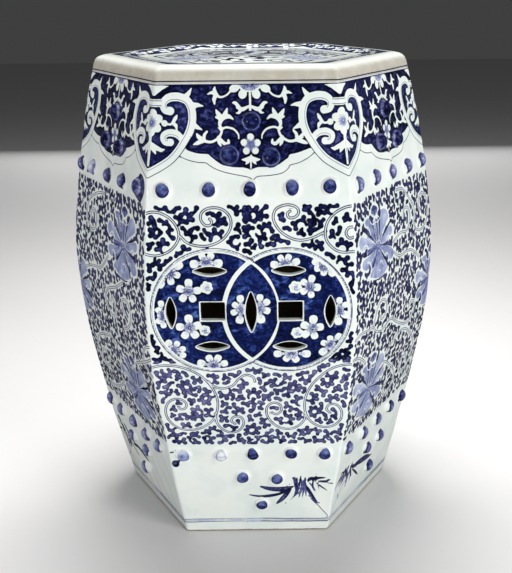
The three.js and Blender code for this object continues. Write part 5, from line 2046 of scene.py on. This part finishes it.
TOP_PROFILE = ([0, 20, 30, 45, 60, 74, 84, 90, 94, 98, 102, 106, 110, 113.5, 116.5, 119.0, 121.7], [465.4, 465.3, 465.1, 464.7, 464.15, 463.55, 463.25, 463.2, 463.3, 463.65, 464.2, 464.8, 465.35, 465.76, 465.95, 466.0, 465.97])
RIM_PROFILE = ([140.5, 142.3, 144.0, 145.5, 146.9, 148.3, 149.6, 150.75, 151.8, 152.65, 153.4, 154.05, 154.55, 154.95, 155.25, 155.45], [465.97, 465.82, 465.5, 465.2, 464.75, 464.2, 463.55, 462.8, 461.85, 460.8, 459.55, 458.1, 456.6, 455.0, 453.7, 452.65])


def top_piece(name, cv, mats):
    step, N = 1.1, 127
    tp = nspline(np.array(TOP_PROFILE[0], float), np.array(TOP_PROFILE[1], float))

    def ring(R, z, rc, m=N):
        out = []
        for s in range(6):
            a0, a1 = s * math.pi / 3, (s + 1) * math.pi / 3
            c0 = np.array([math.cos(a0), math.sin(a0)]) * R
            c1 = np.array([math.cos(a1), math.sin(a1)]) * R
            t = np.arange(m) / m
            p = c0[None] * (1 - t[:, None]) + c1[None] * t[:, None]
            if rc > 0:
                c = rc * TAN30
                d0, d1 = t * R, (1 - t) * R
                for end, dd, ca in ((0, d0, a0), (1, d1, a1)):
                    m0 = dd < c
                    if m0.any():
                        th = (1 - dd[m0] / c) * math.pi / 6
                        # centre of the corner's arc
                        cen = np.array([math.cos(ca), math.sin(ca)]) * (R - rc / COS30)
                        nang = ca + (math.pi / 6 - th) * (1 if end == 0 else -1)
                        p[m0] = cen + rc * np.stack([np.cos(nang), np.sin(nang)], 1)
            out.append(p)
        p = np.vstack(out)
        return np.column_stack([p, np.full(len(p), float(z))])

    verts = [np.zeros((1, 3))]
    starts = [0]
    tot = 1
    for i in range(1, N + 1):
        R = i * step
        rc = np.clip((R - 112) / 28, 0, 1) * 7.5
        p = ring(R, 0.0, rc, i)
        verts.append(p)
        starts.append(tot)
        tot += len(p)
    P = np.vstack(verts)
    q = hexsoft(P[:, 0], P[:, 1])
    P[:, 2] = tp(np.clip(q, 0, 121.7))
    tris = []
    for i in range(1, N + 1):
        a, b = starts[i - 1], starts[i]
        na = max(1, 6 * (i - 1))
        for s in range(6):
            j = np.arange(i)
            o = b + s * i + j
            o1 = b + (s * i + j + 1) % (6 * i)
            ii = a + (s * (i - 1) + j) % na if i > 1 else np.zeros(i, int)
            tris.append(np.stack([ii, o, o1], 1))
            if i > 1:
                j2 = np.arange(i - 1)
                in0 = a + (s * (i - 1) + j2) % na
                in1 = a + (s * (i - 1) + j2 + 1) % na
                out1 = b + (s * i + j2 + 1) % (6 * i)
                tris.append(np.stack([in0, out1, in1], 1))
    m = 6 * N
    prev = starts[N] + np.arange(m)
    extra = []
    # down over the rim, then back under it
    rr, rz = np.array(RIM_PROFILE[0]), np.array(RIM_PROFILE[1])
    arc = np.concatenate([[0], np.cumsum(np.hypot(np.diff(rr), np.diff(rz)))])
    fr, fz = nspline(arc, rr), nspline(arc, rz)
    for q in np.linspace(0.45, arc[-1], 44):
        R, z = float(fr(q)), float(fz(q))
        extra.append((R, z, float(np.interp(z, [452, 460, 466], [4.2, 6.0, 7.5]))))
    nrim = len(extra)
    extra += [(155.0, 452.4, 4.2), (150.0, 452.4, 4.2), (120.0, 452.4, 3.0), (60.0, 452.4, 2.0), (8.0, 452.4, 1.0)]
    n_up = tot + nrim * m
    for R, z, rc in extra:
        P = np.vstack([P, ring(R, z, rc)])
        cur = tot + np.arange(m)
        tot += m
        p1, c1 = np.roll(prev, -1), np.roll(cur, -1)
        tris.append(np.stack([prev, cur, c1], 1))
        tris.append(np.stack([prev, c1, p1], 1))
        prev = cur
    P = np.vstack([P, [[0, 0, 452.4]]])
    tris.append(np.stack([prev, np.full(m, tot), np.roll(prev, -1)], 1))
    T = np.vstack(tris)
    # the slab is not quite true either
    x, y = P[:, 0], P[:, 1]
    wob = 0.16 * np.sin(x * 0.031 + 0.7) * np.cos(y * 0.027 - 0.4) + 0.1 * np.sin(x * 0.06 - y * 0.045 + 2)
    P[:, 2] += wob * np.clip((P[:, 2] - 454) / 10, 0, 1)
    # pressed a little thicker towards the back
    P[:, 2] += 2.3 * (y + 134) / 268 * np.clip((P[:, 2] - 453.6) / 9, 0, 1)
    paint = sample(cv, P[:, 0], P[:, 1])
    n = len(P)
    side = np.arange(n) >= starts[N] + m
    for key in list(paint):
        paint[key] = np.where(side, NONE[key], paint[key])
    # line round the foot of the rim
    rim = side & (np.arange(n) < n_up)
    lz = 453.75 + 0.18 * np.sin(x * 0.05 + 1) * np.cos(y * 0.06)
    paint["S"] = np.where(rim, P[:, 2] - lz, paint["S"])
    paint["D"] = np.where(rim, np.abs(P[:, 2] - lz), paint["D"])
    paint["W"] = np.where(side, 0.5, paint["W"])
    paint["K"] = np.where(side, 0.9, paint["K"])
    # the rim's side is painted darker and warmer downward: painted shade on the steep face under the crest, and a
    # warmer glaze tone
    paint["G"] = np.where(side & (np.arange(n) < n_up), 0.3 + 0.55 * np.clip((464.6 - P[:, 2]) / 4.0, 0, 1), 0.0)
    bare = np.where(np.arange(n) >= n_up + m, 1.0, -1.0)
    mat = (bare[T].min(1) > 0).astype(int)
    flat = T.ravel()
    under = np.repeat(mat, 3) == 1
    # plan view, with the rim's side unrolled outward, and the underside small in a corner
    ctr = P[:, :2]
    rad = np.linalg.norm(ctr, axis=1)
    drop = np.clip(466 - P[:, 2], 0, 14)
    scale = np.where(side, (rad + drop * 1.3) / np.maximum(rad, 1), 1.0)
    ux = 0.5 + ctr[:, 0] * scale / 362
    uy = 0.5 + ctr[:, 1] * scale / 362
    uvx = np.where(under, 0.05 + P[flat, 0] / 4000, ux[flat])
    uvy = np.where(under, 0.05 + P[flat, 1] / 4000, uy[flat])
    return build(name, P, T, None, paint, bare, np.stack([uvx, uvy], 1), mats, mat)


# ================================================================ materials
def node(nt, kind, **kw):
    n = nt.nodes.new(kind)
    for key, val in kw.items():
        if key.startswith("i_"):
            n.inputs[int(key[2:])].default_value = val
        else:
            setattr(n, key, val)
    return n


def ramp(nt, stops):
    r = nt.nodes.new("ShaderNodeValToRGB")
    cr = r.color_ramp
    while len(cr.elements) > 1:
        cr.elements.remove(cr.elements[-1])
    cr.elements[0].position = stops[0][0]
    cr.elements[0].color = (*stops[0][1], 1)
    for p, c in stops[1:]:
        e = cr.elements.new(p)
        e.color = (*c, 1)
    return r


def srgb(r, g, b):
    f = lambda c: c / 12.92 if c <= 0.04045 else ((c + 0.055) / 1.055) ** 2.4
    return (f(r / 255), f(g / 255), f(b / 255))


class Net:
    def __init__(self, mat):
        mat.use_nodes = True
        self.nt = mat.node_tree
        self.nt.nodes.clear()
        self.L = self.nt.links.new

    def _in(self, sock, v):
        if v is None:
            return
        if isinstance(v, (int, float)):
            sock.default_value = v
        elif isinstance(v, tuple):
            sock.default_value = v
        else:
            self.L(v, sock)

    def math(self, op, a, b=None, c=None, clamp=False):
        n = self.nt.nodes.new("ShaderNodeMath")
        n.operation = op
        n.use_clamp = clamp
        self._in(n.inputs[0], a)
        self._in(n.inputs[1], b)
        if c is not None:
            self._in(n.inputs[2], c)
        return n.outputs[0]

    def step(self, v, lo, hi, a=0.0, b=1.0, smooth=True):
        n = self.nt.nodes.new("ShaderNodeMapRange")
        n.interpolation_type = "SMOOTHSTEP" if smooth else "LINEAR"
        n.clamp = True
        self._in(n.inputs[0], v)
        self._in(n.inputs[1], lo)
        self._in(n.inputs[2], hi)
        self._in(n.inputs[3], a)
        self._in(n.inputs[4], b)
        return n.outputs[0]

    def mix(self, f, a, b):
        n = self.nt.nodes.new("ShaderNodeMix")
        n.data_type = "RGBA"
        self._in(n.inputs[0], f)
        self._in(n.inputs[6], a)
        self._in(n.inputs[7], b)
        return n.outputs[2]

    def noise(self, co, scale, detail=2.0, rough=0.5, dist=0.0):
        n = self.nt.nodes.new("ShaderNodeTexNoise")
        self._in(n.inputs["Vector"], co)
        n.inputs["Scale"].default_value = scale
        n.inputs["Detail"].default_value = detail
        n.inputs["Roughness"].default_value = rough
        n.inputs["Distortion"].default_value = dist
        return n.outputs[0]

    def attr(self, name):
        n = self.nt.nodes.new("ShaderNodeAttribute")
        n.attribute_type = "GEOMETRY"
        n.attribute_name = name
        s = self.nt.nodes.new("ShaderNodeSeparateXYZ")
        self.L(n.outputs["Vector"], s.inputs[0])
        return s.outputs

    def coords(self, sx=1.0, sy=1.0, sz=1.0):
        t = self.nt.nodes.new("ShaderNodeTexCoord")
        m = self.nt.nodes.new("ShaderNodeMapping")
        m.inputs["Scale"].default_value = (sx, sy, sz)
        self.L(t.outputs["Object"], m.inputs[0])
        return m.outputs[0]


def painted_glaze():
    mat = bpy.data.materials.new("painted_glaze")
    N = Net(mat)
    co = N.coords()
    F, T, Q = N.attr("pa")[0:3]
    P, PT, K = N.attr("pb")[0:3]
    S, D, W = N.attr("pc")[0:3]
    H, B, G = N.attr("pd")[0:3]
    big = N.noise(co, 26, 3, 0.55, 0.3)
    mid = N.noise(co, 95, 3, 0.6, 0.6)
    fine = N.noise(co, 420, 3, 0.6)
    hair = N.noise(co, 1100, 2, 0.5)
    # glaze: faint blue green, pooled here and there, a few iron specks
    base = N.mix(N.step(big, 0.35, 0.68), (*srgb(233, 238, 233), 1), (*srgb(222, 231, 227), 1))
    base = N.mix(N.math("MULTIPLY", N.step(mid, 0.55, 0.8), 0.35), base, (*srgb(236, 238, 231), 1))
    # thinner, warmer glaze where it ran off the rim, and painted shade darkening the rim's steep side
    rim_shade_and_warmth = N.math("MULTIPLY", N.math("MAXIMUM", G, 0.0), N.step(mid, 0.2, 0.7, 0.75, 1.0))
    base = N.mix(rim_shade_and_warmth, base, (*srgb(176, 167, 150), 1))
    # whiter where G is below zero, round and on the bosses: thick glaze and partly painted highlight
    base = N.mix(N.math("MULTIPLY", G, -1.0, clamp=True), base, (*srgb(247, 249, 246), 1))
    speck = N.nt.nodes.new("ShaderNodeTexVoronoi")
    speck.feature = "F1"
    N.L(co, speck.inputs["Vector"])
    speck.inputs["Scale"].default_value = 42
    speck.inputs["Randomness"].default_value = 1.0
    sp = N.math("MULTIPLY", N.step(speck.outputs["Distance"], 0.035, 0.015), N.step(N.noise(co, 9, 2), 0.56, 0.66))
    # blue: two inks, by depth
    violet = ((0.0, srgb(232, 236, 232)), (0.25, srgb(184, 188, 210)), (0.5, srgb(118, 120, 162)), (0.7, srgb(68, 68, 112)), (0.85, srgb(25, 27, 72)), (1.0, srgb(3, 5, 28)))
    cobalt = ((0.0, srgb(232, 236, 232)), (0.25, srgb(172, 190, 222)), (0.5, srgb(86, 114, 172)), (0.7, srgb(38, 60, 128)), (0.85, srgb(9, 21, 74)), (1.0, srgb(1, 4, 28)))

    def ink(depth, hue):
        a, b = ramp(N.nt, violet), ramp(N.nt, cobalt)
        N.L(depth, a.inputs[0])
        N.L(depth, b.inputs[0])
        return N.mix(hue, a.outputs[0], b.outputs[0])

    # pale wash
    jit = N.math("MULTIPLY", N.math("SUBTRACT", fine, 0.5), 0.55)
    covP = N.step(N.math("ADD", P, jit), -0.3, 0.45)
    dP = N.math("ADD", PT, N.math("MULTIPLY", N.math("SUBTRACT", mid, 0.5), 0.5), clamp=True)
    col = N.mix(covP, base, ink(dP, 0.4))
    # dark wash: brush marks inside, a touch darker where the colour pools at the edge
    jit2 = N.math("MULTIPLY", N.math("SUBTRACT", fine, 0.5), 0.5)
    Fj = N.math("ADD", F, jit2)
    covF = N.step(Fj, -0.2, 0.22)
    streak = N.noise(N.coords(150, 150, 230), 1.0, 4, 0.62, 1.4)
    amp = N.math("MULTIPLY_ADD", Q, 0.1, 0.5)
    d = N.math("MULTIPLY_ADD", N.math("SUBTRACT", streak, 0.52), amp, T)
    d = N.math("MULTIPLY_ADD", N.math("SUBTRACT", big, 0.5), 0.28, d)
    # the clear cobalt stays cloudy
    cloud = N.noise(N.coords(95, 95, 120), 1.0, 3, 0.62, 0.7)
    d = N.math("SUBTRACT", d, N.math("MULTIPLY", N.step(cloud, 0.5, 0.72), N.math("MULTIPLY", Q, 0.3)))
    # colour gathers at the edge of a stroke and thins in the middle of a lobe
    pool = N.step(F, 1.1, 0.1)
    d = N.math("MULTIPLY_ADD", pool, 0.08, d)
    thin = N.math("MULTIPLY", N.step(F, 0.9, 2.0), N.step(N.noise(N.coords(210, 210, 260), 1.0, 2, 0.5), 0.44, 0.66))
    d = N.math("SUBTRACT", d, N.math("MULTIPLY", thin, N.math("SUBTRACT", 0.26, N.math("MULTIPLY", Q, 0.22))), clamp=True)
    col = N.mix(covF, col, ink(d, Q))
    # lines
    dist = N.math("ABSOLUTE", N.math("SUBTRACT", N.math("ABSOLUTE", S), H))
    wj = N.math("MULTIPLY_ADD", N.math("SUBTRACT", mid, 0.5), 0.2, W)
    wj = N.math("MULTIPLY_ADD", N.math("SUBTRACT", hair, 0.5), 0.08, wj)
    e = N.math("SUBTRACT", wj, dist)
    covL = N.step(e, -0.22, 0.2)
    near = N.step(N.math("SUBTRACT", D, N.math("ADD", W, H)), 1.15, 0.85)
    covL = N.math("MULTIPLY", covL, near)
    dk = N.math("MULTIPLY_ADD", N.math("SUBTRACT", mid, 0.5), 0.5, K, clamp=True)
    col = N.mix(covL, col, ink(dk, 0.2))
    col = N.mix(N.math("MULTIPLY", sp, 0.55), col, (*srgb(120, 92, 70), 1))
    # unglazed foot and opening walls, painted a dark brown that is partly the body's own burnt colour and partly a
    # painted contact shadow along the foot
    bj = N.math("MULTIPLY_ADD", N.math("SUBTRACT", N.noise(co, 160, 3, 0.6), 0.5), 1.1, B)
    bare = N.step(bj, 0.32, 0.5)
    clay_and_foot_shade = N.mix(N.step(mid, 0.35, 0.7), (*srgb(132, 112, 92), 1), (*srgb(92, 74, 60), 1))
    stain = N.step(bj, 0.02, 0.34)
    col = N.mix(N.math("MULTIPLY", stain, 0.45), col, (*srgb(170, 142, 112), 1))
    col = N.mix(bare, col, clay_and_foot_shade)
    bs = N.nt.nodes.new("ShaderNodeBsdfPrincipled")
    N.L(col, bs.inputs["Base Color"])
    r = N.math("MULTIPLY_ADD", N.step(mid, 0.3, 0.8), 0.10, 0.30)
    r = N.math("MULTIPLY_ADD", bare, 0.45, r)
    N.L(r, bs.inputs["Roughness"])
    bs.inputs["IOR"].default_value = 1.5
    bs.inputs["Specular IOR Level"].default_value = 0.06
    cw = N.math("SUBTRACT", 1.0, bare)
    N.L(cw, bs.inputs["Coat Weight"])
    bs.inputs["Coat Roughness"].default_value = 0.045
    bs.inputs["Coat IOR"].default_value = 1.48
    # glaze skin: soft ripple and a fine grain, bumpier where it is bare
    hgt = N.math("MULTIPLY", N.noise(co, 75, 2, 0.5), 0.00016)
    hgt = N.math("MULTIPLY_ADD", N.noise(co, 260, 2, 0.5), 0.00003, hgt)
    hgt = N.math("MULTIPLY_ADD", bare, N.math("MULTIPLY", N.noise(co, 900, 4, 0.7), 0.0003), hgt)
    bp = N.nt.nodes.new("ShaderNodeBump")
    bp.inputs["Strength"].default_value = 0.55
    bp.inputs["Distance"].default_value = 1.0
    N.L(hgt, bp.inputs["Height"])
    N.L(bp.outputs[0], bs.inputs["Normal"])
    N.L(bp.outputs[0], bs.inputs["Coat Normal"])
    out = N.nt.nodes.new("ShaderNodeOutputMaterial")
    N.L(bs.outputs[0], out.inputs[0])
    return mat


def biscuit():
    mat = bpy.data.materials.new("biscuit")
    N = Net(mat)
    co = N.coords()
    a = N.noise(co, 18, 4, 0.6, 0.4)
    b = N.noise(co, 240, 4, 0.65)
    c = N.noise(co, 1500, 3, 0.6)
    col = N.mix(N.step(a, 0.3, 0.7), (*srgb(214, 204, 186), 1), (*srgb(186, 168, 142), 1))
    col = N.mix(N.math("MULTIPLY", N.step(b, 0.55, 0.75), 0.5), col, (*srgb(160, 136, 110), 1))
    col = N.mix(N.math("MULTIPLY", N.step(c, 0.62, 0.75), 0.4), col, (*srgb(120, 100, 82), 1))
    bs = N.nt.nodes.new("ShaderNodeBsdfPrincipled")
    N.L(col, bs.inputs["Base Color"])
    N.L(N.math("MULTIPLY_ADD", b, 0.15, 0.72), bs.inputs["Roughness"])
    bs.inputs["Specular IOR Level"].default_value = 0.3
    h = N.math("MULTIPLY_ADD", c, 0.00008, N.math("MULTIPLY", b, 0.0003))
    bp = N.nt.nodes.new("ShaderNodeBump")
    bp.inputs["Strength"].default_value = 0.7
    bp.inputs["Distance"].default_value = 1.0
    N.L(h, bp.inputs["Height"])
    N.L(bp.outputs[0], bs.inputs["Normal"])
    out = N.nt.nodes.new("ShaderNodeOutputMaterial")
    N.L(bs.outputs[0], out.inputs[0])
    return mat


def area(name, loc, target, size, power, color=(1, 1, 1), seen=True):
    d = bpy.data.lights.new(name, "AREA")
    d.shape = "RECTANGLE"
    d.size, d.size_y = size
    d.energy = power
    d.color = color
    o = bpy.data.objects.new(name, d)
    o.location = loc
    v = Vector(target) - Vector(loc)
    o.rotation_euler = v.to_track_quat("-Z", "Y").to_euler()
    o.visible_glossy = seen
    bpy.context.scene.collection.objects.link(o)
    return o


def studio(scene):
    scene.view_settings.view_transform = "Standard"
    world = bpy.data.worlds.new("studio")
    scene.world = world
    world.use_nodes = True
    world.node_tree.nodes["Background"].inputs[0].default_value = (0.98, 0.985, 1.0, 1)
    world.node_tree.nodes["Background"].inputs[1].default_value = 0.05
    area("top", (0.0, 0.35, 1.25), (0, 0.05, 0.45), (0.7, 0.5), 23.0, (1.0, 0.995, 0.99), False)
    area("low", (0.0, -2.0, 0.25), (0, 0, 0.22), (2.0, 0.4), 7.4, (1.0, 1.0, 0.99), False)
    area("low_right", (1.2, -1.7, 0.3), (0, 0, 0.15), (1.0, 0.4), 13.5, (0.985, 1.0, 1.0), False)
    area("left", (-2.0, -0.4, 0.6), (0, 0, 0.25), (0.8, 1.2), 14.0, (1.0, 0.97, 1.0), False)
    area("right", (2.0, -0.3, 0.3), (0, 0, 0.2), (0.8, 0.4), 8.5, (0.98, 0.985, 1.0), False)
    area("behind", (0.0, 2.0, 0.9), (0, 0, 0.46), (1.4, 0.3), 4.0, (1, 1, 1), False)
    area("back_fill", (0.0, 2.2, 0.4), (0, 0, 0.2), (2.0, 0.5), 9.0, (1.0, 1.0, 1.0), False)
    area("key", (0.95, -1.15, 1.35), (0, -0.1, 0.25), (0.45, 0.45), 9.0, (1.0, 0.995, 0.985), False)
    # two small panes for the glints on the bosses
    area("pane_left", (-1.3, -1.4, 0.47), (0, 0, 0.36), (0.2, 0.2), 3.6)
    area("pane_right", (1.39, -1.02, 1.15), (0, 0, 0.36), (0.19, 0.19), 3.4)


# ================================================================ the seat
GLAZE = painted_glaze()
CLAY = biscuit()
SIDES = ["front", "front_right", "back_right", "back", "back_left", "front_left"]

BLOOMS = {
    1: [(-44, 305.5, 0.96), (94, 237, 0.96), (-41, 158, 0.98)],
    2: [(-94, 237, 0.96), (46, 300, 1.0), (-40, 168, 1.0)],
    4: [(-46, 302, 1.0), (94, 237, 0.96), (40, 165, 1.0)],
    5: [(40.5, 306.5, 0.95), (-94, 237, 0.96), (34, 156, 0.98)],
}

for k, side in enumerate(SIDES):
    cv = Canvas(-97, 97, -1, 457, 0.5)
    rng = np.random.default_rng(11 + k)
    if k in (0, 3):
        two_coin_wall(cv, rng, 1 if k == 0 else -1)
    else:
        lotus_wall(cv, rng, BLOOMS[k], 1 if k in (1, 4) else -1, tone=0.84 if k == 1 else 0.8)
    collar(cv, rng)
    foot_lines(cv, k)
    if k in (0, 3):
        bamboo_front(cv, rng)
    elif k == 5:
        bamboo_left(cv, rng)
    else:
        bamboo_side(cv, rng, -1 if k == 2 else 1)
    if k == 0:
        # a slip of the brush by the first boss
        cv.add(ellipse(-79.2, 91.0, 3.9, 4.3, 0.2), 0.92, 0.1)
        cv.add(stroke([(-77, 93), (-74.0, 96.4)], [1.6, 1.3]), 0.7, 0.2)
        cv.add(stroke([(-83.8, 104.6), (-80.8, 105.6), (-77.4, 107.0)], [0.9, 1.3, 0.6]), 0.86, 0.1)
    if k == 5:
        cv.add(polygon(spline([(72, 377.8), (66, 371.4), (58.6, 363.4), (59.6, 359.2), (67, 356), (76, 353.4), (81.4, 358), (84.4, 366), (82, 373), (77, 377), (72, 377.8)], 3)[:-1]), 0.84, 0.05)
        # a grey streak across the second upper boss: painted shade of the boss
        cv.add(stroke([(-63, 358.6), (-56, 360), (-51, 365), (-44, 371.4)], [1.6, 1.9, 1.3, 0.4]), 0.66, 0.05)
    panel = wall_panel("panel_" + side, k, cv, k in (0, 3), [GLAZE, CLAY], k)
    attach(panel, "root")
    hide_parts("wall_" + side)
    b = boss_piece("bosses_" + side, k, [GLAZE], 40 + k, side)
    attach(b, "root")
    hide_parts(*[f"row_boss_{side}_{i}" for i in range(1, 6)], *[f"collar_boss_{side}_{i}" for i in range(1, 4)])

top = top_piece("top_slab", paint_top(np.random.default_rng(77)), [GLAZE, CLAY])
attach(top, "root")
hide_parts("seat_top")

floor_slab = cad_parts["floor_slab"]
floor_slab.data.materials.clear()
floor_slab.data.materials.append(CLAY)

# ================================================================ stage
scene = bpy.context.scene
me = bpy.data.meshes.new("floor")
s = 6.0
me.from_pydata([(-s, -s, 0), (s, -s, 0), (s, s, 0), (-s, s, 0)], [], [(0, 1, 2, 3)])
ground = bpy.data.objects.new("floor", me)
scene.collection.objects.link(ground)
gm = bpy.data.materials.new("floor_pale")
gm.use_nodes = True
gb = gm.node_tree.nodes["Principled BSDF"]
gb.inputs["Base Color"].default_value = (0.68, 0.675, 0.67, 1)
gb.inputs["Roughness"].default_value = 0.55
me.materials.append(gm)
ground.visible_glossy = False
studio(scene)

cam_data = bpy.data.cameras.new("camera")
cam = bpy.data.objects.new("camera", cam_data)
scene.collection.objects.link(cam)
scene.camera = cam
cam_data.sensor_width = 36
cam_data.lens = 883.75 * 36 / 573
cam_data.shift_x = -23.69 / 573
cam_data.shift_y = 78.8 / 573
cam_data.clip_start = 0.02
yaw, pitch, roll, turn = -0.0116, 0.4079, -0.0101, 0.0071
sy, cy, sp, cp, sr, cr = math.sin(yaw), math.cos(yaw), math.sin(pitch), math.cos(pitch), math.sin(roll), math.cos(roll)
right = Vector((cy, sy, 0))
fwd = Vector((-sy * cp, cy * cp, -sp))
up = Vector((-sy * sp, cy * sp, cp))
xc = cr * right + sr * up
yc = cr * up - sr * right
rot = Matrix((xc, yc, -fwd)).transposed().to_4x4()
spin = Matrix.Rotation(turn, 4, "Z")
cam.matrix_world = spin @ Matrix.Translation((0.01538, -0.91355, 0.52877)) @ rot
